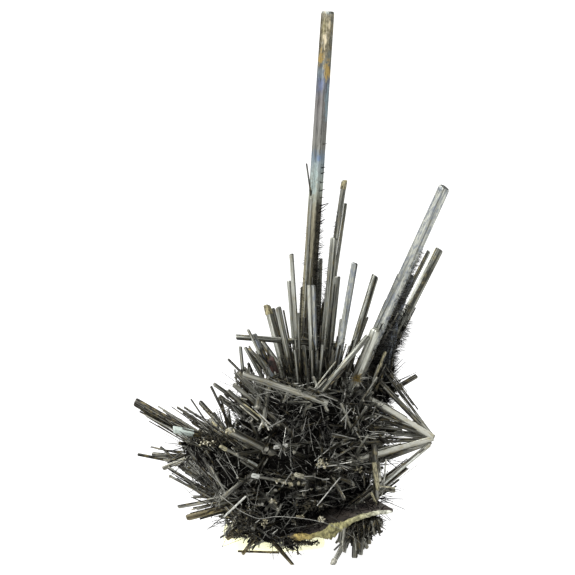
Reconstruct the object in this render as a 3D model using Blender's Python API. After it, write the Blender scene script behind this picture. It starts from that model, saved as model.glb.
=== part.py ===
"""Stibnite specimen: a thicket of lead-grey crystals grown together on a slab of rock, on a low pad of putty.

Units are metres, +Z is up. The origin lies on the flat underside of the pad. Run it with
blender --background --python part.py, or from Blender's text editor.

Four pieces:
    crystal_cluster    every crystal above and around the slab, grown together as one solid
    matrix_slab        the flat piece of rock in the lower front, thick in the middle and thin to the right
    slab_foot          the short crystals grown on the slab's underside
    putty_pad          the pad that the cluster is pressed into, flat underneath

Places are written as (across, up, depth) in millimetres, the way a collector would measure the specimen
from the front: across to the right, up as it looks from slightly above, and depth away from the viewer.
"""

import math
import random

import bmesh
import bpy
from mathutils import Matrix, Vector

MM = 0.001
VIEW_TILT = math.radians(10)  # the front view looks down by this much
GAP = 0.3  # clear space between two pieces, in mm

# Crystals: (foot, tip, width). Places are (across, up, depth) in mm, widths in mm.
UPRIGHT_FAN = [
    ((4.6, 32.2, 2.0), (9.6, 106.8, 4.5), 2.8),  # the tall crystal
    ((4.4, 32.2, 1.0), (6.3, 69.6, 2.6), 0.9),  # a lath grown along its left side
    ((6.6, 32.2, -3.0), (5.8, 52.2, -4.5), 0.95),
    ((7.4, 32.2, -3.0), (6.7, 52.1, -5.4), 0.85),
    ((7.0, 36.0, 3.0), (7.8, 57.4, 6.2), 1.5),
    ((7.0, 33.0, 3.0), (12.9, 73.0, 8.0), 1.15),
    ((8.2, 32.2, -1.0), (10.8, 61.6, -2.5), 1.5),
    ((8.0, 33.0, 3.5), (13.2, 68.6, 11.0), 0.7),
    ((9.2, 32.2, -1.0), (11.5, 53.9, 0.0), 1.25),
    ((10.6, 31.6, -4.0), (14.9, 56.6, -9.0), 1.35),
    ((10.8, 34.2, -4.0), (12.2, 45.4, -3.0), 0.6),
    ((12.2, 31.6, -1.0), (19.1, 54.1, 7.0), 1.5),
    ((12.4, 33.0, -0.2), (17.4, 45.6, 4.4), 0.6),
    ((1.8, 31.2, 0.0), (-2.6, 48.0, 4.5), 1.35),
    ((2.2, 31.2, 0.5), (-1.8, 47.4, 5.4), 0.8),
    ((3.0, 31.2, -2.0), (-0.4, 47.7, -4.6), 1.3),
    ((4.0, 31.6, 0.0), (2.3, 58.4, -4.0), 0.95),
    ((3.6, 31.6, 1.5), (1.8, 53.1, 6.0), 0.9),
    ((4.2, 31.6, -3.0), (3.6, 46.6, -2.0), 0.6),
    ((5.8, 29.6, -6.5), (4.7, 40.2, -9.0), 0.75),
    ((7.8, 30.8, -5.0), (8.5, 40.2, -8.0), 0.6),
    ((3.8, 31.2, -5.0), (3.0, 39.2, -4.0), 0.6),
    ((6.8, 31.6, -4.5), (6.6, 42.2, -4.0), 0.7),
    ((7.4, 40.6, -1.0), (-8.8, 41.8, -5.0), 1.15),  # the one that lies across the fan
    ((0.2, 30.8, -5.0), (-5.3, 42.4, -4.0), 1.3),
    ((-3.6, 37.6, -4.5), (-6.4, 43.3, -4.5), 0.6),
    ((-7.3, 33.8, -4.0), (-7.9, 39.9, -3.0), 0.7),
    ((-2.4, 31.6, -5.0), (-7.0, 39.8, -3.5), 0.7),
    ((0.6, 30.2, -2.0), (-2.0, 37.6, -5.5), 2.0),  # a dark red-brown stub in the fan
]
LEANING_BUNCH = [
    ((14.3, 31.0, -1.0), (32.8, 71.7, -7.0), 2.6),  # the leaning crystal
    ((16.6, 33.4, 1.0), (29.8, 59.0, 4.0), 0.9),
    ((17.6, 31.2, 2.0), (32.0, 59.4, 7.0), 1.8),
    ((18.0, 30.6, -1.0), (26.2, 54.2, -1.5), 1.6),
    ((20.4, 29.0, 0.0), (22.6, 44.4, 1.0), 2.4),
    ((18.8, 33.2, -3.0), (21.0, 38.8, -2.4), 0.7),
    ((15.2, 33.4, -4.8), (19.2, 43.4, -4.4), 2.1),
    ((8.0, 30.8, -8.0), (17.6, 42.0, -5.4), 1.25),  # crosses the foot of the fan
]
RIGHT_POINT = [
    ((18.0, 29.2, -2.4), (30.8, 21.5, -6.0), 1.6),
    ((19.6, 33.2, -1.4), (30.6, 21.8, -5.0), 1.15),
    ((21.2, 34.6, -0.6), (30.4, 22.2, -4.5), 0.6),
    ((19.2, 29.2, 0.0), (27.4, 34.0, 3.0), 1.05),
    ((14.4, 20.6, -8.5), (30.0, 21.2, -6.0), 0.6),
    ((14.6, 17.0, -9.4), (30.6, 21.5, -6.0), 1.2),
    ((17.4, 10.0, -7.0), (30.0, 20.4, -6.0), 1.0),
    ((16.8, 8.8, -6.0), (25.4, 15.6, -5.0), 0.8),
    ((16.0, 26.8, -4.0), (30.6, 21.7, -5.0), 0.9),
    ((15.0, 15.2, -3.0), (30.2, 20.8, -4.5), 1.1),
    ((15.0, 24.0, 3.0), (30.6, 21.6, -4.5), 1.2),
    ((14.0, 18.0, 2.0), (30.0, 21.2, -4.5), 0.8),
    ((19.0, 16.8, -9.5), (19.2, 9.2, -7.0), 1.2),
]
FRONT_BLADES = [
    ((5.8, 30.0, -9.4), (-7.4, 34.4, -10.4), 1.45),
    ((-5.4, 31.0, -6.5), (-8.4, 34.8, -6.0), 1.6),
    ((11.4, 29.2, -8.0), (5.8, 31.8, -10.6), 0.8),
    ((-0.6, 25.0, -7.6), (-9.2, 32.2, -9.4), 1.0),
    ((-3.6, 25.0, -6.8), (-10.4, 31.2, -8.4), 0.8),
    ((-7.2, 28.2, -5.0), (-13.2, 32.4, -6.4), 0.8),
    ((-10.2, 22.6, -6.0), (-11.8, 29.6, -6.6), 0.6),
    ((14.8, 22.4, -8.0), (12.2, 28.6, -12.6), 0.8),
    ((14.4, 23.6, -8.0), (17.4, 28.0, -11.4), 0.75),
    ((14.0, 17.0, -8.0), (17.6, 22.2, -12.0), 0.6),
    ((1.6, 17.1, -7.8), (-10.2, 23.2, -13.4), 1.7),
    ((-2.6, 15.0, -8.4), (-11.8, 20.0, -13.6), 0.75),
    ((1.6, 12.8, -11.0), (-5.4, 14.2, -15.6), 0.85),
    ((10.0, 12.6, -9.0), (3.2, 14.4, -15.0), 0.85),
    ((14.8, 15.6, -9.0), (8.2, 16.6, -15.0), 1.3),
    ((14.4, 16.8, -9.0), (8.6, 17.6, -14.4), 0.6),
    ((3.2, 20.4, -11.5), (-1.0, 19.8, -15.2), 0.65),
]
LEFT_SPRAYS = [
    ((-13.6, 20.0, -2.0), (-29.1, 28.8, 4.0), 1.7),
    ((-13.6, 18.8, -1.0), (-28.0, 28.0, 5.0), 1.3),
    ((-12.6, 21.4, -4.0), (-21.2, 23.3, -6.0), 1.4),
    ((-13.0, 20.6, -5.0), (-23.4, 27.2, -2.0), 0.6),
    ((-12.0, 17.2, 1.0), (-25.6, 18.2, 6.0), 1.05),
    ((-12.0, 15.0, 1.0), (-28.6, 18.2, 8.0), 0.65),
    ((-14.0, 19.6, -4.0), (-23.4, 15.4, 0.0), 1.1),
    ((-11.0, 8.4, -5.0), (-22.4, 15.6, -1.0), 0.8),
    ((-11.6, 8.4, -6.0), (-22.2, 14.0, -2.0), 0.6),
    ((-10.8, 9.2, -5.0), (-20.4, 16.0, -2.0), 0.6),
]
UNDERSIDE = [
    ((-6.4, 9.0, -7.0), (-18.6, 5.6, -6.0), 1.6),
    ((-7.0, 10.0, -7.0), (-17.4, 7.4, -5.0), 0.6),
    ((-3.6, 6.0, -8.0), (-10.8, 1.6, -8.0), 1.5),
    ((-2.4, 5.0, -8.0), (-7.5, -1.6, -12.0), 0.75),
    ((-4.0, -1.1, -13.2), (-8.4, -1.0, -11.6), 0.6),
    ((-3.4, 3.4, -8.0), (2.6, -3.8, -20.6), 1.0),  # props the cluster up in front
]
SLAB_FOOT = [
    ((13.6, 2.2, -12.6), (10.4, -3.8, -20.6), 1.1),  # props the slab up in front
    ((15.2, 4.6, -12.4), (14.9, -2.3, -13.4), 1.5),
    ((16.6, 4.8, -12.0), (16.0, -1.6, -13.0), 1.3),
    ((17.6, 5.0, -11.6), (17.8, 0.4, -12.0), 1.0),
    ((13.6, 3.6, -13.0), (12.8, -1.2, -14.5), 0.8),
    ((16.0, 3.6, -10.8), (17.4, -0.4, -8.0), 0.9),
    ((14.3, 3.0, -11.6), (13.2, -0.4, -9.6), 0.8),
    ((18.4, 5.4, -11.0), (20.2, 2.6, -11.0), 0.7),
    ((12.8, 3.2, -11.0), (11.2, 0.6, -11.6), 0.6),
]
FOOT_LUMP = ((15.6, 3.4, -11.4), (3.8, 3.6, 3.0))
FOOT_SEED = 3

ROOT = 4.0  # how far each crystal of these lists goes on into the heart, in mm
WIDE = 1.2  # wider crystals than this have six sides, the others four
SLIM = 0.8  # slimmer crystals than this have no bevel at the tip
# The rings of a crystal: share of its width at the foot, where the bevel starts, and at the tip
BEVELLED = (1.06, 0.97, 0.62)
PLAIN = (1.1, 0.86)
BEVEL_LENGTH = 0.25  # the bevel's length, as a share of the width
THICKNESS = (0.72, 0.95)  # as a share of the width
TURN = 25  # degrees that a crystal may be turned round its axis
SLANT = 0.5  # rise of the tip's face across the crystal, at most
CRYSTAL_SEED = 7

# Sprays on the sides and back: (heart, direction, half angle in degrees, count, reach, width)
# The heart and direction are plain x, y, z in mm; reach and width are (least, most) in mm.
SPRAYS = [
    ((5, 6, 27), (-0.2, 0.7, 0.8), 32, 12, (10, 20), (0.7, 1.5)),
    ((12, 6, 22), (0.8, 0.7, 0.3), 34, 10, (9, 18), (0.7, 1.3)),
    ((-6, 6, 17), (-0.6, 0.85, 0.05), 32, 11, (9, 19), (0.7, 1.4)),
    ((3, 8, 15), (0.1, 1.0, 0.0), 45, 12, (9, 19), (0.7, 1.4)),
    ((-6, 2, 11), (-0.8, 0.6, 0.1), 28, 9, (9, 16), (0.6, 1.1)),
    ((10, 4, 12), (0.8, 0.6, -0.2), 32, 9, (8, 16), (0.6, 1.2)),
    ((-3, 2, 28), (-0.5, 0.5, 0.8), 26, 9, (6, 10), (0.5, 0.9)),
    ((14, -4, 27), (0.5, -0.5, 0.7), 34, 8, (6, 10), (0.5, 0.8)),
    ((-2, -6, 22), (-0.4, -0.9, 0.2), 50, 9, (7, 12), (0.7, 1.3)),
    ((8, -5, 18), (0.1, -1.0, 0.1), 55, 12, (8, 12), (0.7, 1.3)),
    ((-4, -5, 12), (-0.3, -1.0, -0.1), 50, 8, (7, 12), (0.7, 1.2)),
]
SPRAY_SEED = 7
GOLDEN_ANGLE = math.pi * (3 - math.sqrt(5))  # round the spray's axis, from one crystal to the next
SPRAY_SCATTER = 4  # degrees that a crystal leans off its place in the spray
SPRAY_HEART = 1.5  # the feet of a spray lie within this of its heart, in mm

# Crystals that lie criss-cross on the heart's skin, sunk into it at one end
CRISS_CROSS = 24
CRISS_CROSS_SEED = 23
CRISS_CROSS_LENGTH = (6.0, 11.0)
CRISS_CROSS_WIDTH = (0.7, 1.5)
CRISS_CROSS_SUNK = 0.9  # how far out on a lump's radius they lie
CRISS_CROSS_BEHIND = 0.4  # the share of their length that lies behind that point
CRISS_CROSS_LUMPS = 6  # the first lumps of the heart carry them

# The grown-together heart of the cluster: (across, up, depth), radii (x, y, z), in mm
HEART_LUMPS = [
    ((4.0, 17.2, 0.0), (15.0, 12.0, 11.6)),
    ((7.0, 28.4, -2.0), (10.0, 8.0, 4.6)),
    ((-8.4, 16.2, -3.0), (6.4, 7.0, 7.0)),
    ((-3.4, 7.2, -4.0), (8.4, 7.6, 4.6)),
    ((14.4, 21.4, -2.0), (6.0, 7.6, 8.0)),
    ((-4.0, 28.6, -4.0), (5.0, 4.6, 4.0)),
    ((-14.8, 19.4, -5.0), (4.4, 3.0, 2.6)),
    ((14.0, 9.8, 0.0), (5.6, 7.0, 3.2)),
    ((3.0, 19.0, 7.0), (11.0, 8.0, 9.0)),
    ((19.6, 31.0, 0.0), (2.6, 2.6, 4.0)),
    ((-0.6, 2.8, -10.4), (5.2, 2.6, 2.6)),
    ((2.0, 0.8, -12.8), (1.5, 2.2, 1.3)),
]
LUMP_SKIN = (0.78, 1.1)  # how far in and out a lump's facets stand, as a share of its radius
HEART_SEED = 4
LARGE_LUMP = 9.0  # lumps with a larger radius than this have more facets

# The slab of rock: its front edge, from left to right, as (across, up, thickness) in mm
SLAB_EDGE = [
    (2.0, 1.8, 0.9), (4.0, 1.9, 1.2), (6.0, 2.0, 0.9), (8.0, 2.4, 1.4), (10.0, 3.0, 2.4), (12.0, 3.9, 1.6),
    (14.0, 5.0, 1.0), (16.0, 5.9, 0.8), (18.0, 6.5, 0.7), (20.0, 6.8, 0.6), (22.6, 7.0, 0.4),
]
SLAB_FRONT = -14.0  # depth of the front edge
SLAB_RISE = math.radians(10)  # the slab rises to the back
# How far it goes to the back from each point of the edge
SLAB_REACH = [10.0, 14.0, 16.5, 18.0, 19.0, 18.5, 17.0, 14.6, 11.0, 5.6, 0.9]
SLAB_ROWS = 4
SLAB_ROUNDING = 0.3  # the faces stop this far short of the rim

# The pad of putty, a low block with a rounded edge
PAD_CENTRE = (-1.3, 1.4)
PAD_HALF = (10.3, 8.4)
PAD_HEIGHT = 3.4
PAD_EDGE = 0.9  # rounding of the upper edge
PAD_FOOT = (0.35, 0.5)  # rounding of the lower edge, inward and upward
PAD_SQUARENESS = 0.5  # 1 is an ellipse, 0 a rectangle
PAD_POINTS = 28

FLOOR_SIZE = (200, 200, 30)

COLOURS = {
    "stibnite": ((0.16, 0.165, 0.16), 0.95, 0.36),
    "slab_rock": ((0.13, 0.11, 0.09), 0.0, 0.85),
    "putty": ((0.93, 0.88, 0.52), 0.0, 0.55),
}


def place(across, up, depth):
    """A point given as it looks from the front, as a vector in metres."""
    height = (up - depth * math.sin(VIEW_TILT)) / math.cos(VIEW_TILT)
    return Vector((across, depth, height)) * MM


def material(name):
    colour, metallic, roughness = COLOURS[name]
    made = bpy.data.materials.new(name)
    made.use_nodes = True
    surface = made.node_tree.nodes["Principled BSDF"]
    surface.inputs["Base Color"].default_value = (*colour, 1.0)
    surface.inputs["Metallic"].default_value = metallic
    surface.inputs["Roughness"].default_value = roughness
    made.diffuse_color = (*colour, 1.0)
    return made


def new_object(name, bm, material_name=None):
    mesh = bpy.data.meshes.new(name)
    bm.to_mesh(mesh)
    bm.free()
    made = bpy.data.objects.new(name, mesh)
    bpy.context.scene.collection.objects.link(made)
    if material_name:
        mesh.materials.append(material(material_name))
    return made


def as_helper(made):
    """Marks an object as a cutter or a shape to be joined: it is no piece of its own."""
    made.hide_render = True
    made.display_type = "WIRE"
    return made


def boolean(made, operation, other, own_overlaps=False):
    step = made.modifiers.new(f"{operation} {other.name}", "BOOLEAN")
    step.operation = operation
    step.solver = "EXACT"
    step.use_self = own_overlaps
    step.object = other


def add_crystal(bm, foot, tip, width, rng):
    """A long prism with a bevelled, slanting end. Stibnite is a little wider than it is thick."""
    axis = (tip - foot).normalized()
    side = axis.cross(Vector((0, 1, 0)))
    side = side.normalized() if side.length > 0.2 else axis.orthogonal().normalized()
    turn = Matrix.Rotation(math.radians(rng.uniform(-TURN, TURN)), 3, axis)
    side = turn @ side
    front = axis.cross(side)
    sides = 6 if width > WIDE else 4
    half = 0.5 * width * MM
    thickness = rng.uniform(*THICKNESS)
    slant = rng.uniform(-SLANT, SLANT)
    length = (tip - foot).length
    # Each ring: distance along the crystal and share of the full width
    if width < SLIM:
        rings = list(zip((0.0, length), PLAIN))
    else:
        rings = list(zip((0.0, length - BEVEL_LENGTH * width * MM, length), BEVELLED))
    made = []
    for along, share in rings:
        ring = []
        for i in range(sides):
            angle = 2 * math.pi * (i + 0.5) / sides
            x = math.cos(angle) * half * share
            y = math.sin(angle) * half * share * thickness
            lean = slant * x if along > 0 else 0.0
            ring.append(bm.verts.new(foot + axis * (along + lean) + side * x + front * y))
        made.append(ring)
    for lower, upper in zip(made, made[1:]):
        for i in range(sides):
            j = (i + 1) % sides
            bm.faces.new((lower[i], lower[j], upper[j], upper[i]))
    bm.faces.new(list(reversed(made[0])))
    bm.faces.new(made[-1])


def spray_crystals(rng):
    """(foot, tip, width) of each crystal in the sprays, in metres and mm."""
    made = []
    for heart, direction, half_angle, count, reach, width in SPRAYS:
        heart = Vector(heart) * MM
        main = Vector(direction).normalized()
        first = main.orthogonal().normalized()
        second = main.cross(first)
        for i in range(count):
            # A golden-angle spiral spreads the crystals evenly over the cone
            lean = math.radians(half_angle) * math.sqrt((i + 0.5) / count)
            lean += math.radians(rng.uniform(-SPRAY_SCATTER, SPRAY_SCATTER))
            round_it = i * GOLDEN_ANGLE + rng.uniform(-0.3, 0.3)
            sideways = first * math.cos(round_it) + second * math.sin(round_it)
            towards = main * math.cos(lean) + sideways * math.sin(lean)
            shift = Vector([rng.uniform(-SPRAY_HEART, SPRAY_HEART) for _ in range(3)]) * MM
            foot = heart + shift
            tip = foot + towards * rng.uniform(*reach) * MM
            made.append((foot, tip, rng.uniform(*width)))
    return made


def bodies_of(bm):
    """The faces of each connected body."""
    left = set(bm.faces)
    while left:
        body = {left.pop()}
        edge_of_search = list(body)
        while edge_of_search:
            face = edge_of_search.pop()
            for edge in face.edges:
                for other in edge.link_faces:
                    if other not in body:
                        body.add(other)
                        edge_of_search.append(other)
        left -= body
        yield body


def keep_outer_body(made):
    """Applies the Booleans, then deletes pockets that they sealed inside and bits that they cut loose."""
    evaluated = made.evaluated_get(bpy.context.evaluated_depsgraph_get())
    mesh = bpy.data.meshes.new_from_object(evaluated)
    made.modifiers.clear()
    made.data = mesh
    bm = bmesh.new()
    bm.from_mesh(mesh)
    bodies = sorted(bodies_of(bm), key=len)
    for body in bodies[:-1]:
        bmesh.ops.delete(bm, geom=list(body), context="FACES")
    loose = [vert for vert in bm.verts if not vert.link_faces]
    bmesh.ops.delete(bm, geom=loose, context="VERTS")
    bm.to_mesh(mesh)
    bm.free()


def crystals_mesh(name, rows, extra=()):
    rng = random.Random(CRYSTAL_SEED)
    bm = bmesh.new()
    for foot, tip, width in rows:
        foot, tip = place(*foot), place(*tip)
        add_crystal(bm, foot - (tip - foot).normalized() * ROOT * MM, tip, width, rng)
    for foot, tip, width in extra:
        add_crystal(bm, foot, tip, width, rng)
    bmesh.ops.recalc_face_normals(bm, faces=bm.faces)
    return new_object(name, bm)


def add_lump(bm, centre, radii, rng, subdivisions=2):
    """A jagged lump: the ends of crystals too short to be told apart."""
    made = bmesh.ops.create_icosphere(bm, subdivisions=subdivisions, radius=1.0)["verts"]
    for vert in made:
        reach = rng.uniform(*LUMP_SKIN)
        vert.co = centre + Vector([p * r for p, r in zip(vert.co, radii)]) * reach * MM


def criss_cross_crystals(rng):
    """(foot, tip, width) of the crystals that lie on the heart's skin, in metres and mm."""
    made = []
    while len(made) < CRISS_CROSS:
        centre, radii = rng.choice(HEART_LUMPS[:CRISS_CROSS_LUMPS])
        out = Vector((rng.gauss(0, 1), rng.gauss(-0.3, 1), rng.gauss(0, 0.8))).normalized()
        on_skin = place(*centre) + Vector([o * r for o, r in zip(out, radii)]) * CRISS_CROSS_SUNK * MM
        along = out.orthogonal().normalized()
        along = Matrix.Rotation(rng.uniform(0, 2 * math.pi), 3, out) @ along
        along = (along + out * rng.uniform(0.05, 0.5)).normalized()
        length = rng.uniform(*CRISS_CROSS_LENGTH) * MM
        foot = on_skin - along * CRISS_CROSS_BEHIND * length
        made.append((foot, foot + along * length, rng.uniform(*CRISS_CROSS_WIDTH)))
    return made


def slab_point(column, row, level, grow):
    """A point of the slab: column along the front edge, row to the back, level -1 under, 0 rim, 1 on top."""
    across, up, thickness = SLAB_EDGE[column]
    last = len(SLAB_EDGE) - 1
    share = row / SLAB_ROWS
    rim = grow - SLAB_ROUNDING * abs(level)
    sideways = {0: -rim, last: rim}.get(column, 0.0)
    reach = SLAB_REACH[column] * share + {0: -rim, SLAB_ROWS: rim}.get(row, 0.0)
    point = place(across + sideways, up, SLAB_FRONT) / MM
    point += Vector((0, math.cos(SLAB_RISE), math.sin(SLAB_RISE))) * reach
    point += Vector((0, -math.sin(SLAB_RISE), math.cos(SLAB_RISE))) * level * (0.5 * thickness + grow)
    return point * MM


def slab_mesh(name, grow=0.0, material_name=None):
    bm = bmesh.new()
    columns = range(len(SLAB_EDGE))
    rows = range(SLAB_ROWS + 1)
    last_column = columns[-1]
    last_row = rows[-1]
    # The rim runs round the slab once: front, right, back, left
    around = [(c, 0) for c in columns[:-1]] + [(last_column, r) for r in rows[:-1]]
    around += [(c, last_row) for c in reversed(columns[1:])] + [(0, r) for r in reversed(rows[1:])]
    rim = [bm.verts.new(slab_point(c, r, 0, grow)) for c, r in around]
    for level in (-1, 1):
        sheet = {(c, r): bm.verts.new(slab_point(c, r, level, grow)) for c in columns for r in rows}
        for c in columns[:-1]:
            for r in rows[:-1]:
                corner, right = sheet[c, r], sheet[c + 1, r]
                far, back = sheet[c + 1, r + 1], sheet[c, r + 1]
                bm.faces.new((corner, right, far))
                bm.faces.new((corner, far, back))
        for i, key in enumerate(around):
            j = (i + 1) % len(around)
            bm.faces.new((rim[i], rim[j], sheet[around[j]]))
            bm.faces.new((rim[i], sheet[around[j]], sheet[key]))
    bmesh.ops.recalc_face_normals(bm, faces=bm.faces)
    return new_object(name, bm, material_name)


def pad_outline(inset):
    """The pad seen from above: a superellipse, a block with soft corners."""
    points = []
    for i in range(PAD_POINTS):
        angle = 2 * math.pi * i / PAD_POINTS
        c, s = math.cos(angle), math.sin(angle)
        x = math.copysign(abs(c) ** PAD_SQUARENESS, c) * (PAD_HALF[0] - inset)
        y = math.copysign(abs(s) ** PAD_SQUARENESS, s) * (PAD_HALF[1] - inset)
        points.append((PAD_CENTRE[0] + x, PAD_CENTRE[1] + y))
    return points


def pad_mesh(name, grow=0.0, material_name=None):
    bm = bmesh.new()
    foot_inset, foot_height = PAD_FOOT
    levels = [
        (-grow, foot_inset - grow),
        (foot_height, -grow),
        (PAD_HEIGHT - PAD_EDGE, -grow),
        (PAD_HEIGHT + grow, PAD_EDGE - grow),
    ]
    rings = []
    for height, inset in levels:
        rings.append([bm.verts.new(Vector((x, y, height)) * MM) for x, y in pad_outline(inset)])
    for lower, upper in zip(rings, rings[1:]):
        for i in range(PAD_POINTS):
            j = (i + 1) % PAD_POINTS
            bm.faces.new((lower[i], lower[j], upper[j], upper[i]))
    bm.faces.new(list(reversed(rings[0])))
    bm.faces.new(rings[-1])
    bmesh.ops.recalc_face_normals(bm, faces=bm.faces)
    return new_object(name, bm, material_name)


def floor_mesh(name):
    """Everything below the surface that the specimen stands on, as a cutter."""
    bm = bmesh.new()
    bmesh.ops.create_cube(bm, size=1.0)
    for vert in bm.verts:
        x, y, z = vert.co
        vert.co = Vector([share * size for share, size in zip((x, y, z - 0.5), FLOOR_SIZE)]) * MM
    return new_object(name, bm)


def heart_mesh(name):
    bm = bmesh.new()
    rng = random.Random(HEART_SEED)
    for centre, radii in HEART_LUMPS:
        add_lump(bm, place(*centre), radii, rng, 2 if max(radii) > LARGE_LUMP else 1)
    bmesh.ops.recalc_face_normals(bm, faces=bm.faces)
    return new_object(name, bm, "stibnite")


def clear_scene():
    for old in list(bpy.data.objects):
        bpy.data.objects.remove(old)


def main():
    clear_scene()
    floor = as_helper(floor_mesh("floor_cutter"))
    slab_room = as_helper(slab_mesh("slab_room", GAP))
    pad_room = as_helper(pad_mesh("pad_room", GAP))

    rows = UPRIGHT_FAN + LEANING_BUNCH + RIGHT_POINT + FRONT_BLADES + LEFT_SPRAYS + UNDERSIDE
    others = spray_crystals(random.Random(SPRAY_SEED)) + criss_cross_crystals(random.Random(CRISS_CROSS_SEED))
    crystals = as_helper(crystals_mesh("crystals_to_join", rows, others))
    cluster = heart_mesh("crystal_cluster")
    boolean(cluster, "UNION", crystals, own_overlaps=True)
    for cutter in (floor, slab_room, pad_room):
        boolean(cluster, "DIFFERENCE", cutter)
    keep_outer_body(cluster)

    slab_mesh("matrix_slab", 0.0, "slab_rock")
    pad_mesh("putty_pad", 0.0, "putty")

    foot_crystals = as_helper(crystals_mesh("foot_to_join", SLAB_FOOT))
    bm = bmesh.new()
    centre, radii = FOOT_LUMP
    add_lump(bm, place(*centre), radii, random.Random(FOOT_SEED))
    foot = new_object("slab_foot", bm, "stibnite")
    boolean(foot, "UNION", foot_crystals, own_overlaps=True)
    boolean(foot, "DIFFERENCE", floor)
    boolean(foot, "DIFFERENCE", slab_room)
    keep_outer_body(foot)


main()
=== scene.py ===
# %% [markdown]
# # A stibnite specimen, dressed for its portrait
# Stibnite grows as long, lead-grey, grooved crystals that shine like worn metal. This specimen is a whole
# thicket of them: one tall crystal, a fan beside it, a leaning bunch, sprays to both sides, and a dark
# tangle of needles in the middle. It grew on a slab of rock and stands on a pad of pale putty. The solids
# of the frame hold the large crystals. Everything here is rebuilt finer, in the same places, and then given
# its finish.

# %% Load the frame
import math
import random

import bmesh
import bpy
from mathutils import Matrix, Vector, noise
from mathutils.bvhtree import BVHTree


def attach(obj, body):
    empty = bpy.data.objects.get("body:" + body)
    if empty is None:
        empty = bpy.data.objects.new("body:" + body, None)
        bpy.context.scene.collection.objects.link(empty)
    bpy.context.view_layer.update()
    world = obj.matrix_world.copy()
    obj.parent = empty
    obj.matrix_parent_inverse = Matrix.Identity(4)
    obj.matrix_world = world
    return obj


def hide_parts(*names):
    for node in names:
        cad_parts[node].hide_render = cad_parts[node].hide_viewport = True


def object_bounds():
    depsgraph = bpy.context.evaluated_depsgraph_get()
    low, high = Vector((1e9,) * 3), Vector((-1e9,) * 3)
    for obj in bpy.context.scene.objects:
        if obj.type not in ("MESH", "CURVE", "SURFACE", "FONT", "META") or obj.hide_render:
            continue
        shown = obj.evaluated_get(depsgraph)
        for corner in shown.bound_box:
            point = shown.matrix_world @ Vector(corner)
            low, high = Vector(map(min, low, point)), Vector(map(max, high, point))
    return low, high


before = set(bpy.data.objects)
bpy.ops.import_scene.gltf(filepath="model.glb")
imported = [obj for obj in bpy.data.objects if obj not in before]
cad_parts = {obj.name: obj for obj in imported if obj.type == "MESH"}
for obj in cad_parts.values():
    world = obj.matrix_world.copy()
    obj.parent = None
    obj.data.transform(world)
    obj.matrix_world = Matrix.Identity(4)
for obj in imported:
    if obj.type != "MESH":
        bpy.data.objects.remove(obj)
solid_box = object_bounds()
BODY = "root"
MM = 0.001
box_low = Vector(solid_box[0])
box_high = Vector(solid_box[1])
print("solids:", sorted(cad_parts), "box in mm:", [round(v / MM, 1) for v in (*box_low, *box_high)])

# %% [markdown]
# ## Places as they look from the front
# A collector measures such a thing from the front: so far across, so far up, so far away. The front view
# looks down by ten degrees, so "up" is mixed from height and depth. One helper turns such a reading into a
# real place, which keeps every list below readable against the portrait.

# %% From a front reading to a place
VIEW_TILT = math.radians(10)


def place(across, up, depth):
    """A point read from the front, in mm, as a vector in metres."""
    height = (up - depth * math.sin(VIEW_TILT)) / math.cos(VIEW_TILT)
    return Vector((across, depth, height)) * MM


def in_box(point, margin=0.0001):
    """Whether a point keeps inside the solids' box."""
    return all(low + margin <= p <= high - margin for p, low, high in zip(point, box_low, box_high))


def kept_in_box(point):
    """The point, or the nearest one inside the solids' box: a tip on the floor is flat there."""
    return Vector([min(max(p, low), high) for p, low, high in zip(point, box_low, box_high)])


print("a point 10 mm up and 5 mm back is at", [round(v, 4) for v in place(0, 10, 5)])

# %% [markdown]
# ## A builder for crystals
# Thousands of crystals as separate objects would be slow, so each group becomes one mesh. The builder below
# sweeps an outline along a path and keeps two things for the finish: a UV map in millimetres, across the
# faces and back from the tip, so that grooves run lengthwise; and one random number per crystal, its
# "grain", so that no two crystals have quite the same tone.

# %% The growth builder
class Growth:
    """Collects swept shapes, and becomes one mesh at the end."""

    def __init__(self):
        self.verts = []
        self.faces = []
        self.uvs = []
        self.grains = []

    def sweep(self, rings, alongs, grain, girth):
        """Joins rings of points into a closed tube. alongs are the distances back from the tip, in mm."""
        start = len(self.verts)
        sides = len(rings[0])
        for ring in rings:
            self.verts.extend(kept_in_box(point) for point in ring)
        for level in range(len(rings) - 1):
            low = start + level * sides
            for i in range(sides):
                j = (i + 1) % sides
                self.faces.append((low + i, low + j, low + sides + j, low + sides + i))
                u0, u1 = girth * i / sides, girth * (i + 1) / sides
                v0, v1 = alongs[level], alongs[level + 1]
                self.uvs.extend(((u0, v0), (u1, v0), (u1, v1), (u0, v1)))
                self.grains.append(grain)
        last = start + (len(rings) - 1) * sides
        self.faces.append(tuple(start + i for i in reversed(range(sides))))
        self.faces.append(tuple(last + i for i in range(sides)))
        for along in (alongs[0], alongs[-1]):
            self.uvs.extend((girth * i / sides, along) for i in range(sides))
            self.grains.append(grain)

    def to_mesh(self, name):
        """The collected shapes as one mesh, with the grooves map and the grains."""
        mesh = bpy.data.meshes.new(name)
        mesh.from_pydata(self.verts, [], self.faces)
        layer = mesh.uv_layers.new(name="grooves")
        layer.data.foreach_set("uv", [value for uv in self.uvs for value in uv])
        grain = mesh.attributes.new("grain", "FLOAT", "FACE")
        grain.data.foreach_set("value", self.grains)
        mesh.update()
        return mesh


print("a new growth has", len(Growth().faces), "faces")

# %% [markdown]
# ## The shape of one crystal
# A stibnite crystal is a prism with an outline between a diamond and a circle, and its faces are grooved
# from end to end. A Bevel modifier on a cylinder would round it evenly, which is wrong, so the outline is
# drawn by a formula: a soft diamond whose radius goes up and down a little at each groove. The tip is cut
# slanting, with a small bevel, like a chisel.

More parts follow.
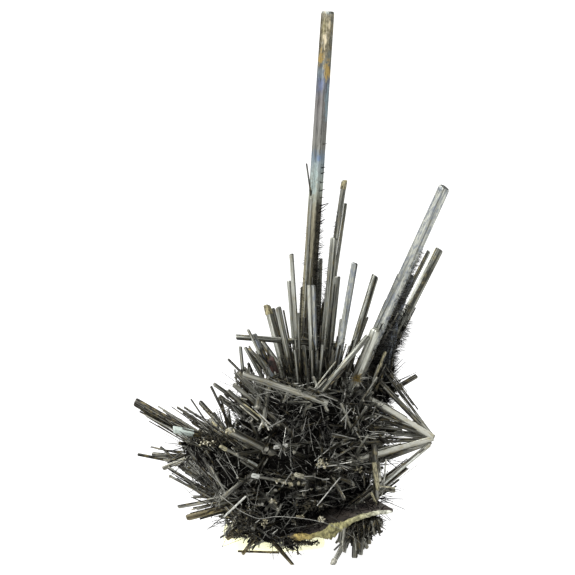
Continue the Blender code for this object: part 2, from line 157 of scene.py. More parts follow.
# %% One straight crystal
DIAMOND = 1.35  # 1 is a diamond, 2 a circle
TIP_BEVEL = 0.35  # of half the width
SLANTED_FROM = 0.6  # of the length: only the rings past it are cut slanting
NEEDLE_SHAPE = ((1, 0), (0, 0.7), (-1, 0), (0, -0.7))


def outline(sides, grooves, thickness, rng):
    """Points round a grooved soft diamond of radius 1, squeezed to the thickness."""
    points = []
    for i in range(sides):
        angle = 2 * math.pi * i / sides
        c, s = math.cos(angle), math.sin(angle)
        radius = (abs(c) ** DIAMOND + abs(s) ** DIAMOND) ** (-1 / DIAMOND)
        radius *= 1 + rng.uniform(-grooves, grooves)
        points.append((c * radius, s * radius * thickness))
    return points


def cross_axes(axis, turn):
    """Two directions across a crystal. With turn 0 the second one points to the viewer as far as it can."""
    side = axis.cross(Vector((0, 1, 0)))
    side = side.normalized() if side.length > 0.2 else axis.orthogonal().normalized()
    side = Matrix.Rotation(turn, 3, axis) @ side
    return side, axis.cross(side)


def crystal(growth, foot, tip, width, rng, sides=6, turn=None, thickness=None, grooves=0.04, grain=None,
            end=0.8, slants=None):
    """A straight crystal from foot to tip, both in metres, with its width in mm. end is the tip's share."""
    axis = (tip - foot).normalized()
    length = (tip - foot).length
    turn = rng.uniform(-0.7, 0.7) if turn is None else turn
    thickness = rng.uniform(0.7, 0.95) if thickness is None else thickness
    grain = rng.random() if grain is None else grain
    side, front = cross_axes(axis, turn)
    shape = outline(sides, grooves, thickness, rng)
    half = 0.5 * width * MM
    slant, other_slant = slants or (rng.uniform(-0.35, 0.35), rng.uniform(-0.3, 0.3))
    bevel = min(TIP_BEVEL * half, 0.3 * length)
    levels = [(0.0, 1.05), (0.55 * length, 1.01), (length - bevel, 0.97), (length, end)]
    rings = []
    for along, share in levels:
        ring = []
        for x, y in shape:
            x, y = x * half * share, y * half * share
            lean = slant * x + other_slant * y if along > SLANTED_FROM * length else 0.0
            ring.append(foot + axis * (along + lean) + side * x + front * y)
        rings.append(ring)
    growth.sweep(rings, [(length - along) / MM for along, _ in levels], grain, math.pi * width)


def needle(growth, foot, tip, width, rng, grain=None, point=0.5):
    """A thin crystal with four sides and few faces, for the thousands that fill the thicket."""
    axis = (tip - foot).normalized()
    side = Matrix.Rotation(rng.uniform(0, math.pi), 3, axis) @ axis.orthogonal().normalized()
    front = axis.cross(side)
    half = 0.5 * width * MM
    rings = []
    for centre, share in ((foot, 1.0), (tip, point)):
        rings.append([centre + side * x * half * share + front * y * half * share
                      for x, y in NEEDLE_SHAPE])
    growth.sweep(rings, [(tip - foot).length / MM, 0.0], rng.random() if grain is None else grain, 3 * width)


test = Growth()
crystal(test, Vector((0, 0, 0)), Vector((0, 0, 0.02)), 2.0, random.Random(1), sides=12)
print("a test crystal has", len(test.faces), "faces")

# %% [markdown]
# ## Hairs
# Some growth is finer still: hairs that bend. A hair is a thin tube along a smooth curve through a few
# given points. A Curve object with a bevel would do, but as mesh it can share one object with the
# other hairs.

# %% One bent hair
def smooth_path(points, steps):
    """A curve through the points, with so many steps between two of them."""
    path = []
    padded = [points[0]] + list(points) + [points[-1]]
    for a, b, c, d in zip(padded, padded[1:], padded[2:], padded[3:]):
        for i in range(steps):
            t = i / steps
            path.append(0.5 * ((2 * b) + (c - a) * t + (2 * a - 5 * b + 4 * c - d) * t ** 2
                               + (3 * b - a - 3 * c + d) * t ** 3))
    path.append(points[-1])
    return path


def hair(growth, points, width, grain, steps=4, sides=4):
    """A bent hair through points in metres, with its width in mm. It thins out towards its end."""
    path = smooth_path(points, steps)
    along = (path[1] - path[0]).normalized()
    side = along.orthogonal().normalized()
    rings = []
    alongs = []
    run = 0.0
    for i, point in enumerate(path):
        ahead = path[min(i + 1, len(path) - 1)] - path[max(i - 1, 0)]
        along = ahead.normalized()
        side = (side - along * side.dot(along)).normalized()
        front = along.cross(side)
        half = 0.5 * width * MM * (1.0 - 0.5 * i / len(path))
        rings.append([point + (side * math.cos(a) + front * math.sin(a)) * half
                      for a in (2 * math.pi * k / sides for k in range(sides))])
        run += (point - path[i - 1]).length / MM if i else 0.0
        alongs.append(run)
    growth.sweep(rings, alongs, grain, 3 * width)


print("a hair through 3 points has", len(smooth_path([Vector((0, 0, i)) for i in range(3)], 4)), "rings")

# %% [markdown]
# ## A helper for finishes
# A finish is a small network of nodes. Wiring them by hand makes long code, so this helper makes a node,
# sets its inputs and links whatever is itself a socket. A finish adds what stibnite needs again and again:
# the crystal's grain, the place on its grooves map, and a bump.

# %% The node helper
class Nodes:
    """Short ways to add nodes to a tree."""

    def __init__(self, tree):
        self.tree = tree

    def node(self, kind, inputs=None, **settings):
        made = self.tree.nodes.new(kind)
        for key, value in settings.items():
            setattr(made, key, value)
        for key, value in (inputs or {}).items():
            self.put(made.inputs[key], value)
        return made

    def put(self, socket, value):
        if isinstance(value, bpy.types.NodeSocket):
            self.tree.links.new(value, socket)
        else:
            socket.default_value = value

    def math(self, operation, a, b=0.0, clamp=False):
        return self.node("ShaderNodeMath", {0: a, 1: b}, operation=operation, use_clamp=clamp).outputs[0]

    def madd(self, a, b, c):
        return self.node("ShaderNodeMath", {0: a, 1: b, 2: c}, operation="MULTIPLY_ADD").outputs[0]

    def noise(self, spot, detail=4.0, roughness=0.6, scale=1.0):
        made = self.node("ShaderNodeTexNoise", {"Vector": spot, "Scale": scale, "Detail": detail,
                                                "Roughness": roughness})
        return made.outputs["Fac"]

    def mix(self, share, a, b, blend="MIX"):
        made = self.node("ShaderNodeMix", data_type="RGBA", blend_type=blend)
        self.put(made.inputs[0], share)
        self.put(made.inputs[6], a)
        self.put(made.inputs[7], b)
        return made.outputs[2]

    def ramp(self, share, stops):
        """A ramp from (place, colour) stops. A colour may be one grey value."""
        made = self.node("ShaderNodeValToRGB", {0: share})
        band = made.color_ramp
        while len(band.elements) < len(stops):
            band.elements.new(0.5)
        for element, (spot, colour) in zip(band.elements, stops):
            element.position = spot
            element.color = (colour,) * 3 + (1,) if isinstance(colour, float) else (*colour, 1)
        return made.outputs[0]


class Finish(Nodes):
    """A material, with its surface shader and the nodes that finishes share."""

    def __init__(self, name):
        self.material = bpy.data.materials.new(name)
        self.material.use_nodes = True
        super().__init__(self.material.node_tree)
        self.surface = self.tree.nodes["Principled BSDF"]

    def grain(self):
        return self.node("ShaderNodeAttribute", attribute_name="grain").outputs["Fac"]

    def on_map(self):
        """The place on the grooves map: across the faces, and back from the tip."""
        grooves = self.node("ShaderNodeUVMap", uv_map="grooves").outputs[0]
        split = self.node("ShaderNodeSeparateXYZ", {0: grooves})
        return split.outputs[0], split.outputs[1]

    def bump(self, height, strength, distance=0.0003):
        made = self.node("ShaderNodeBump", {"Height": height, "Strength": strength, "Distance": distance})
        return made.outputs[0]

    def set(self, **values):
        for key, value in values.items():
            self.put(self.surface.inputs[key.replace("_", " ")], value)


print("node helper ready")

# %% [markdown]
# ## The finish of stibnite
# Stibnite looks like worn lead with an olive cast. Its grooves catch the light in long streaks, next to
# others that stay nearly black. The streaks come from noises that are stretched lengthwise on the grooves
# map: a coarse one for the flutes, a fine one for the grooves in them, and a blotchy one for the brownish
# film that sits on many faces. They drive colour, roughness and a fine bump. The cut end of a crystal is
# painted a little paler, a painted highlight where the tip catches the light.

# %% Stibnite, from bright blades to dark thicket
FLUTES = (1.5, 0.06)  # noise per mm across and along
GROOVES = (6.5, 0.16)
FILM = (1.6, 0.7)
SHINE = (0.2, 0.48)  # roughness in the dark and in the light streaks
FILM_COLOUR = (0.24, 0.20, 0.10)
TARNISH_BLUE = (0.15, 0.19, 0.27)
GRAIN_SHIFT = 53.0  # moves each crystal to a stretch of the noise of its own
EDGE_TINT = (0.35, 0.35, 0.33)  # faces seen at a grazing angle stay dark, as sooty metal does


def on_grooves(finish, stretch, grain):
    """A place on the grooves map for a noise, stretched, and different for each crystal."""
    across, back = finish.on_map()
    spot = finish.node("ShaderNodeCombineXYZ", {0: finish.math("MULTIPLY", across, stretch[0]),
                                                1: finish.math("MULTIPLY", back, stretch[1]),
                                                2: finish.math("MULTIPLY", grain, GRAIN_SHIFT)})
    return spot.outputs[0]


def stibnite(name, dark, light, film=0.5, tarnish=0.0, bump=0.6, tones=(-0.5, 0.95, 1.0)):
    """A stibnite finish between two colours. film and tarnish are shares of the brown film and the blue.

    tones says how light a crystal is with grain 0, how much its grain adds, and how much its streaks do.
    """
    finish = Finish(name)
    grain = finish.grain()
    flutes = finish.noise(on_grooves(finish, FLUTES, grain), 2.0)
    grooves = finish.noise(on_grooves(finish, GROOVES, grain), 4.0)
    blotch = finish.noise(on_grooves(finish, FILM, grain), 5.0)
    streak = finish.madd(flutes, 0.55, finish.math("MULTIPLY", grooves, 0.45))
    lightness = finish.madd(grain, tones[1], tones[0])
    streaks = finish.math("MULTIPLY", finish.ramp(streak, [(0.4, 0.0), (0.6, 1.0)]), tones[2])
    share = finish.math("ADD", lightness, streaks, clamp=True)
    colour = finish.mix(share, (*dark, 1), (*light, 1))
    if film:
        filmed = finish.math("MULTIPLY", finish.ramp(blotch, [(0.5, 0.0), (0.68, 1.0)]), film)
        colour = finish.mix(filmed, colour, (*FILM_COLOUR, 1))
    if tarnish:
        chosen = finish.math("LESS_THAN", finish.math("FRACT", finish.math("MULTIPLY", grain, 7.3)), tarnish)
        blue = finish.math("MULTIPLY", chosen, finish.ramp(blotch, [(0.46, 0.0), (0.6, 0.55)]))
        colour = finish.mix(blue, colour, (*TARNISH_BLUE, 1))
    # Painted highlight: the colour turns paler towards the tip, as if the cut end caught the light
    tip_highlight = finish.ramp(finish.on_map()[1], [(0.0, 0.1), (0.3, 0.0)])
    colour = finish.mix(tip_highlight, colour, (*light, 1))
    rough = finish.madd(streak, SHINE[1] - SHINE[0], SHINE[0])
    finish.set(Base_Color=colour, Metallic=0.9, Roughness=rough, Normal=finish.bump(streak, bump),
               Specular_Tint=(*EDGE_TINT, 1))
    return finish.material


blade_finish = stibnite("stibnite_blades", (0.042, 0.043, 0.037), (0.53, 0.54, 0.48), film=0.45, tarnish=0.12)
grey_finish = stibnite("stibnite_sprays", (0.018, 0.017, 0.015), (0.40, 0.40, 0.35), film=0.5)
needle_finish = stibnite("stibnite_needles", (0.010, 0.009, 0.009), (0.42, 0.42, 0.38), film=0.0, bump=0.0,
                         tones=(-0.2, 0.95, 0.3))
brown_finish = stibnite("stibnite_brown_coated", (0.03, 0.024, 0.014), (0.34, 0.30, 0.20), film=0.9)
print("stibnite finishes:", blade_finish.name, grey_finish.name, needle_finish.name)

# %% [markdown]
# ## Bright and pale ends
# A few crystals end in a face painted white or cyan, a painted highlight where the face flashes, and some
# are coated with cream. They get a dull, light finish of their own, whose tone goes from the cream coat to
# the painted white and cyan highlights with the crystal's grain.

# %% The pale finish
def pale():
    """A cream coat or a painted white or cyan highlight, with dark gaps, fewest on cyan faces."""
    finish = Finish("pale_coats_and_painted_highlights")
    grain = finish.grain()
    # Grain up to about 0.3 is the cream coat; white near 0.6 and cyan at 1 are painted highlights
    tone = finish.ramp(grain, [(0.0, (0.27, 0.23, 0.11)), (0.3, (0.40, 0.37, 0.23)), (0.6, (0.58, 0.58, 0.53)),
                               (1.0, (0.50, 0.57, 0.52))])
    grooves = finish.noise(on_grooves(finish, (3.5, 1.2), grain), 4.0)
    gaps = finish.ramp(grain, [(0.0, 1.0), (0.55, 0.75), (1.0, 0.15)])
    coat = finish.mix(gaps, (1, 1, 1, 1), finish.ramp(grooves, [(0.40, 0.06), (0.5, 0.7), (0.6, 1.1)]))
    colour = finish.mix(1.0, tone, coat, "MULTIPLY")
    finish.set(Base_Color=colour, Metallic=0.15, Roughness=0.4, Normal=finish.bump(grooves, 0.5))
    return finish.material


coat_and_highlight_finish = pale()
print("pale finish:", coat_and_highlight_finish.name)

# %% [markdown]
# ## The tall crystal's tarnish
# The tall crystal wears its history in bands: a chalky tip, mottled brown and cream, a stretch of blue,
# violet-grey, then a long olive-beige shaft with a pale cyan window. The bands follow the distance back
# from the tip, shifted by a noise so that no edge is straight. On the front, single stains lie over them:
# each is a soft oval at a place across and back, in mm, with a wandering edge. From the middle down, the
# right half is painted dark: painted shade on the side away from the light, where bristles also grow.

# %% The banded finish
TALL_LENGTH = 78.0
TALL_BANDS = [
    (0.0, (0.42, 0.42, 0.40)), (0.014, (0.30, 0.28, 0.23)), (0.04, (0.21, 0.17, 0.11)),
    (0.1, (0.24, 0.21, 0.15)), (0.135, (0.20, 0.21, 0.19)), (0.17, (0.15, 0.18, 0.23)),
    (0.2, (0.15, 0.16, 0.20)), (0.23, (0.20, 0.19, 0.19)), (0.35, (0.20, 0.20, 0.18)),
    (0.375, (0.17, 0.21, 0.25)), (0.42, (0.30, 0.34, 0.32)), (0.47, (0.31, 0.33, 0.28)),
    (0.52, (0.27, 0.25, 0.18)), (0.7, (0.24, 0.22, 0.15)), (1.0, (0.08, 0.08, 0.06)),
]
TALL_STAINS = [
    # (across, back) and half sizes in mm, share, then the colour.
    # Across is 0 at the left edge and 4.4 at the right one.
    ((1.5, 3.4), (1.1, 1.7), 0.7, (0.36, 0.32, 0.16)),
    ((3.4, 1.8), (0.8, 1.3), 0.7, (0.27, 0.28, 0.29)),
    ((3.5, 5.6), (0.8, 2.4), 0.85, (0.11, 0.14, 0.17)),
    ((3.2, 8.6), (0.8, 1.3), 0.8, (0.17, 0.22, 0.24)),
    ((0.9, 9.2), (0.9, 1.9), 1.0, (0.56, 0.38, 0.11)),
    ((3.0, 12.0), (1.1, 2.4), 1.0, (0.54, 0.38, 0.13)),
    ((1.1, 12.6), (0.9, 1.6), 0.7, (0.24, 0.30, 0.34)),
    ((1.3, 14.8), (0.9, 1.5), 0.7, (0.16, 0.20, 0.34)),
    ((3.4, 18.0), (0.9, 4.6), 0.8, (0.24, 0.33, 0.37)),
    ((2.3, 22.0), (0.22, 9.0), 0.8, (0.10, 0.10, 0.09)),
    ((2.2, 29.6), (0.6, 0.8), 0.5, (0.13, 0.20, 0.36)),
    ((1.4, 34.0), (0.8, 3.6), 0.8, (0.38, 0.46, 0.44)),
    ((2.6, 44.0), (0.2, 8.0), 0.8, (0.07, 0.07, 0.05)),
]
TIP_MOTTLE = [(0.36, (0.06, 0.055, 0.04)), (0.46, (0.22, 0.20, 0.12)), (0.54, (0.40, 0.37, 0.24)),
              (0.64, (0.5, 0.48, 0.42))]
TIP_STREAKS = [
    # (across, back) and half sizes in mm, and the colour, over the mottling
    ((2.6, 2.6), (0.35, 1.2), (0.66, 0.58, 0.40)),
    ((1.7, 5.6), (0.42, 1.9), (0.68, 0.60, 0.42)),
    ((2.2, 0.3), (2.6, 0.35), (0.27, 0.29, 0.27)),
]


def stain(finish, spot, wander, at, size):
    """1 inside an oval, 0 outside, with an edge that wanders."""
    across, back = [finish.math("DIVIDE", finish.math("SUBTRACT", value, middle), half)
                    for value, middle, half in zip(spot, at, size)]
    far = finish.math("SQRT", finish.madd(across, across, finish.math("MULTIPLY", back, back)))
    far = finish.madd(wander, 3.2, finish.math("SUBTRACT", far, 1.6))
    return finish.ramp(far, [(0.55, 1.0), (1.0, 0.0)])


def banded_finish():
    """Bands first, then the stains, the mottled tip, the painted shade on the right side and the streaks of
    the grooves.
    """
    finish = Finish("stibnite_tall")
    spot = finish.on_map()
    flutes = finish.noise(on_grooves(finish, (1.3, 0.05), 0.3), 2.0)
    grooves = finish.noise(on_grooves(finish, (5.0, 0.3), 0.3), 4.0)
    wander = finish.noise(on_grooves(finish, (1.4, 0.9), 0.7), 5.0)
    back = finish.math("DIVIDE", spot[1], TALL_LENGTH)
    colour = finish.ramp(finish.madd(wander, 0.06, finish.math("SUBTRACT", back, 0.03)), TALL_BANDS)
    for at, size, share, tone in TALL_STAINS:
        oval = stain(finish, spot, wander, at, size)
        colour = finish.mix(finish.math("MULTIPLY", oval, share), colour, (*tone, 1))
    speckle = finish.noise(on_grooves(finish, (2.2, 1.3), 0.9), 5.0, 0.7)
    tip = finish.ramp(back, [(0.0, 0.6), (0.09, 0.5), (0.14, 0.12), (0.3, 0.0)])
    colour = finish.mix(tip, colour, finish.ramp(speckle, TIP_MOTTLE))
    for at, size, tone in TIP_STREAKS:
        colour = finish.mix(stain(finish, spot, wander, at, size), colour, (*tone, 1))
    # Painted shade: from the middle down the right half is painted dark, away from the light, where bristles
    # grow
    shaded_side = finish.ramp(finish.madd(wander, 0.1, finish.math("DIVIDE", spot[0], 8.8)),
                        [(0.29, 0.0), (0.33, 1.0), (0.56, 1.0), (0.6, 0.0)])
    low = finish.ramp(back, [(0.46, 0.0), (0.5, 0.8)])
    colour = finish.mix(finish.math("MULTIPLY", shaded_side, low), colour, (0.035, 0.032, 0.025, 1))
    streak = finish.madd(flutes, 0.5, finish.math("MULTIPLY", grooves, 0.5))
    colour = finish.mix(1.0, colour, finish.ramp(streak, [(0.36, 0.3), (0.5, 0.95), (0.62, 1.35)]), "MULTIPLY")
    rough = finish.madd(streak, 0.25, 0.3)
    finish.set(Base_Color=colour, Metallic=0.75, Roughness=rough, Normal=finish.bump(streak, 0.7),
               Specular_Tint=(*EDGE_TINT, 1))
    return finish.material


tall_finish = banded_finish()
print("tall crystal finish:", tall_finish.name)

# %% [markdown]
# ## Other finishes
# The thicket's heart is painted nearly black, as painted shade, because light that gets in among metal needles
# hardly gets out.
# Crumbs of a cream mineral and of a dark one sit on the crystals. The slab is smooth dark rock. One stub in
# the fan is red-brown, and one tuft of needles is ochre. The pad is pale yellow putty, dull and a little
# uneven, and so bright in the portrait that it gets a faint painted glow, though it is no lamp. One function
# makes them all: a ramp of colours over a noise, which reads the place in the object, so nothing needs a map.

# %% Heart, cream mineral, rock and putty
PITS_FINER = 3.2  # than the spots of colour


def earthy(name, stops, scale, roughness, bump, gloss=0.5):
    """A dull finish whose colours follow a noise in object space."""
    finish = Finish(name)
    spot = finish.node("ShaderNodeTexCoord").outputs["Object"]
    colour = finish.ramp(finish.noise(spot, 6.0, 0.6, scale), stops)
    pits = finish.noise(spot, 4.0, 0.5, scale * PITS_FINER)
    finish.set(Base_Color=colour, Roughness=roughness, Normal=finish.bump(pits, bump, 0.0004),
               Specular_IOR_Level=gloss)
    return finish.material


# Painted shade: the heart is near-black to stand for the shade deep in the tangle
heart_shade_finish = earthy("thicket_heart", [(0.4, (0.003, 0.003, 0.003)), (0.6, (0.012, 0.011, 0.009)),
                                        (0.72, (0.05, 0.045, 0.035))], 1400, 0.8, 1.0, gloss=0.05)
crumb_finish = earthy("dark_crumbs", [(0.4, (0.008, 0.007, 0.005)), (0.55, (0.035, 0.03, 0.018)),
                                      (0.68, (0.16, 0.14, 0.08))], 1300, 0.7, 0.8, gloss=0.3)
cream_finish = earthy("cream_mineral", [(0.36, (0.05, 0.045, 0.03)), (0.45, (0.24, 0.21, 0.12)),
                                        (0.54, (0.46, 0.43, 0.31)), (0.66, (0.66, 0.64, 0.54))],
                      1500, 0.75, 0.6)
rock_finish = earthy("slab_rock", [(0.3, (0.02, 0.016, 0.013)), (0.55, (0.05, 0.041, 0.035)),
                                   (0.75, (0.11, 0.09, 0.07))], 260, 0.6, 0.5)
putty_finish = earthy("putty", [(0.3, (0.94, 0.93, 0.58)), (0.7, (0.98, 0.97, 0.70))], 180, 0.6, 0.3)
# Painted glow: the putty gives off a little light of its own, though it is no lamp
putty_glow_surface = putty_finish.node_tree.nodes["Principled BSDF"]
putty_glow_surface.inputs["Emission Color"].default_value = (1.0, 0.99, 0.66, 1)
putty_glow_surface.inputs["Emission Strength"].default_value = 0.5
stub_finish = earthy("red_brown_stub", [(0.4, (0.008, 0.005, 0.004)), (0.65, (0.06, 0.022, 0.016))],
                     900, 0.6, 0.9)
ochre_finish = earthy("ochre_tuft", [(0.35, (0.10, 0.07, 0.02)), (0.65, (0.40, 0.29, 0.09))], 900, 0.7, 0.4)
print("earthy finishes:", heart_shade_finish.name, cream_finish.name, rock_finish.name, putty_finish.name)

# %% [markdown]
# ## The large crystals, read from the portrait
# Each line is one crystal: foot, tip and width, as (across, up, depth) in mm. These are the same readings
# that the solids were made from, so each fine crystal stands where its solid stands. The thin crystals,
# which the solids leave out, are the last list.

# %% The lists of crystals
UPRIGHT_FAN = [
    ((4.6, 32.2, 2.0), (9.6, 106.8, 4.5), 2.8),  # the tall crystal
    ((4.4, 32.2, 1.0), (6.3, 69.6, 2.6), 0.9),  # a lath grown along its left side
    ((6.6, 32.2, -3.0), (5.8, 52.2, -4.5), 0.95),
    ((7.4, 32.2, -3.0), (6.7, 52.1, -5.4), 0.85),
    ((7.0, 36.0, 3.0), (7.8, 57.4, 6.2), 1.5),
    ((7.0, 33.0, 3.0), (12.9, 73.0, 8.0), 1.15),
    ((8.2, 32.2, -1.0), (10.8, 61.6, -2.5), 1.5),
    ((8.0, 33.0, 3.5), (13.2, 68.6, 11.0), 0.7),
    ((9.2, 32.2, -1.0), (11.5, 53.9, 0.0), 1.25),
    ((10.6, 31.6, -4.0), (14.9, 56.6, -9.0), 1.35),
    ((10.8, 34.2, -4.0), (12.2, 45.4, -3.0), 0.6),
    ((12.2, 31.6, -1.0), (19.1, 54.1, 7.0), 1.5),
    ((12.4, 33.0, -0.2), (17.4, 45.6, 4.4), 0.6),
    ((1.8, 31.2, 0.0), (-2.6, 48.0, 4.5), 1.35),
    ((2.2, 31.2, 0.5), (-1.8, 47.4, 5.4), 0.8),
    ((3.0, 31.2, -2.0), (-0.4, 47.7, -4.6), 1.3),
    ((4.0, 31.6, 0.0), (2.3, 58.4, -4.0), 0.95),
    ((3.6, 31.6, 1.5), (1.8, 53.1, 6.0), 0.9),
    ((4.2, 31.6, -3.0), (3.6, 46.6, -2.0), 0.6),
    ((5.8, 29.6, -6.5), (4.7, 40.2, -9.0), 0.75),
    ((7.8, 30.8, -5.0), (8.5, 40.2, -8.0), 0.6),
    ((3.8, 31.2, -5.0), (3.0, 39.2, -4.0), 0.6),
    ((6.8, 31.6, -4.5), (6.6, 42.2, -4.0), 0.7),
    ((7.4, 40.6, -1.0), (-8.8, 41.8, -5.0), 1.15),  # the one that lies across the fan
    ((0.2, 30.8, -5.0), (-5.3, 42.4, -4.0), 1.3),
    ((-3.6, 37.6, -4.5), (-6.4, 43.3, -4.5), 0.6),
    ((-7.3, 33.8, -4.0), (-7.9, 39.9, -3.0), 0.7),
    ((-2.4, 31.6, -5.0), (-7.0, 39.8, -3.5), 0.7),
    ((0.6, 30.2, -2.0), (-2.0, 37.6, -5.5), 2.0),  # a dark red-brown stub in the fan
]
LEANING_BUNCH = [
    ((14.3, 31.0, -1.0), (32.8, 71.7, -7.0), 2.6),  # the leaning crystal
    ((16.6, 33.4, 1.0), (29.8, 59.0, 4.0), 0.9),
    ((17.6, 31.2, 2.0), (32.0, 59.4, 7.0), 1.8),
    ((18.0, 30.6, -1.0), (26.2, 54.2, -1.5), 1.6),
    ((20.4, 29.0, 0.0), (22.6, 44.4, 1.0), 2.4),
    ((18.8, 33.2, -3.0), (21.0, 38.8, -2.4), 0.7),
    ((15.2, 33.4, -4.8), (19.2, 43.4, -4.4), 2.1),
    ((8.0, 30.8, -8.0), (17.6, 42.0, -5.4), 1.25),  # crosses the foot of the fan
]
RIGHT_POINT = [
    ((18.0, 29.2, -2.4), (30.8, 21.5, -6.0), 1.6),
    ((19.6, 33.2, -1.4), (30.6, 21.8, -5.0), 1.15),
    ((21.2, 34.6, -0.6), (30.4, 22.2, -4.5), 0.6),
    ((19.2, 29.2, 0.0), (27.4, 34.0, 3.0), 1.05),
    ((14.4, 20.6, -8.5), (30.0, 21.2, -6.0), 0.6),
    ((14.6, 17.0, -9.4), (30.6, 21.5, -6.0), 1.2),
    ((17.4, 10.0, -7.0), (30.0, 20.4, -6.0), 1.0),
    ((16.8, 8.8, -6.0), (25.4, 15.6, -5.0), 0.8),
    ((16.0, 26.8, -4.0), (30.6, 21.7, -5.0), 0.9),
    ((15.0, 15.2, -3.0), (30.2, 20.8, -4.5), 1.1),
    ((15.0, 24.0, 3.0), (30.6, 21.6, -4.5), 1.2),
    ((14.0, 18.0, 2.0), (30.0, 21.2, -4.5), 0.8),
    ((19.0, 16.8, -9.5), (19.2, 9.2, -7.0), 1.2),
]
FRONT_BLADES = [
    ((5.8, 30.0, -9.4), (-7.4, 34.4, -10.4), 1.45),
    ((-5.4, 31.0, -6.5), (-8.4, 34.8, -6.0), 1.6),
    ((11.4, 29.2, -8.0), (5.8, 31.8, -10.6), 0.8),
    ((-0.6, 25.0, -7.6), (-9.2, 32.2, -9.4), 1.0),
    ((-3.6, 25.0, -6.8), (-10.4, 31.2, -8.4), 0.8),
    ((-7.2, 28.2, -5.0), (-13.2, 32.4, -6.4), 0.8),
    ((-10.2, 22.6, -6.0), (-11.8, 29.6, -6.6), 0.6),
    ((14.8, 22.4, -8.0), (12.2, 28.6, -12.6), 0.8),
    ((14.4, 23.6, -8.0), (17.4, 28.0, -11.4), 0.75),
    ((14.0, 17.0, -8.0), (17.6, 22.2, -12.0), 0.6),
    ((1.6, 17.1, -7.8), (-10.2, 23.2, -13.4), 1.7),
    ((-2.6, 15.0, -8.4), (-11.8, 20.0, -13.6), 0.75),
    ((1.6, 12.8, -11.0), (-5.4, 14.2, -15.6), 0.85),
    ((10.0, 12.6, -9.0), (3.2, 14.4, -15.0), 0.85),
    ((14.8, 15.6, -9.0), (8.2, 16.6, -15.0), 1.3),
    ((14.4, 16.8, -9.0), (8.6, 17.6, -14.4), 0.6),
    ((3.2, 20.4, -11.5), (-1.0, 19.8, -15.2), 0.65),
]
LEFT_SPRAYS = [
    ((-13.6, 20.0, -2.0), (-29.1, 28.8, 4.0), 1.7),
    ((-13.6, 18.8, -1.0), (-28.0, 28.0, 5.0), 1.3),
    ((-12.6, 21.4, -4.0), (-21.2, 23.3, -6.0), 1.4),
    ((-13.0, 20.6, -5.0), (-23.4, 27.2, -2.0), 0.6),
    ((-12.0, 17.2, 1.0), (-25.6, 18.2, 6.0), 1.05),
    ((-12.0, 15.0, 1.0), (-28.6, 18.2, 8.0), 0.65),
    ((-14.0, 19.6, -4.0), (-23.4, 15.4, 0.0), 1.1),
    ((-11.0, 8.4, -5.0), (-22.4, 15.6, -1.0), 0.8),
    ((-11.6, 8.4, -6.0), (-22.2, 14.0, -2.0), 0.6),
    ((-10.8, 9.2, -5.0), (-20.4, 16.0, -2.0), 0.6),
]
UNDERSIDE = [
    ((-6.4, 9.0, -7.0), (-18.6, 5.6, -6.0), 1.6),
    ((-7.0, 10.0, -7.0), (-17.4, 7.4, -5.0), 0.6),
    ((-3.6, 6.0, -8.0), (-10.8, 1.6, -8.0), 1.5),
    ((-2.4, 5.0, -8.0), (-7.5, -1.6, -12.0), 0.75),
    ((-4.0, -1.1, -13.2), (-8.4, -1.0, -11.6), 0.6),
    ((-3.4, 3.4, -8.0), (2.6, -3.8, -20.6), 1.0),  # props the cluster up in front
]
SLAB_FOOT = [
    ((13.6, 2.2, -12.6), (10.4, -3.8, -20.6), 1.1),  # props the slab up in front
    ((15.2, 4.6, -12.4), (14.9, -2.3, -13.4), 1.5),
    ((16.6, 4.8, -12.0), (16.0, -1.6, -13.0), 1.3),
    ((17.6, 5.0, -11.6), (17.8, 0.4, -12.0), 1.0),
    ((13.6, 3.6, -13.0), (12.8, -1.2, -14.5), 0.8),
    ((16.0, 3.6, -10.8), (17.4, -0.4, -8.0), 0.9),
    ((14.3, 3.0, -11.6), (13.2, -0.4, -9.6), 0.8),
    ((18.4, 5.4, -11.0), (20.2, 2.6, -11.0), 0.7),
    ((12.8, 3.2, -11.0), (11.2, 0.6, -11.6), 0.6),
]
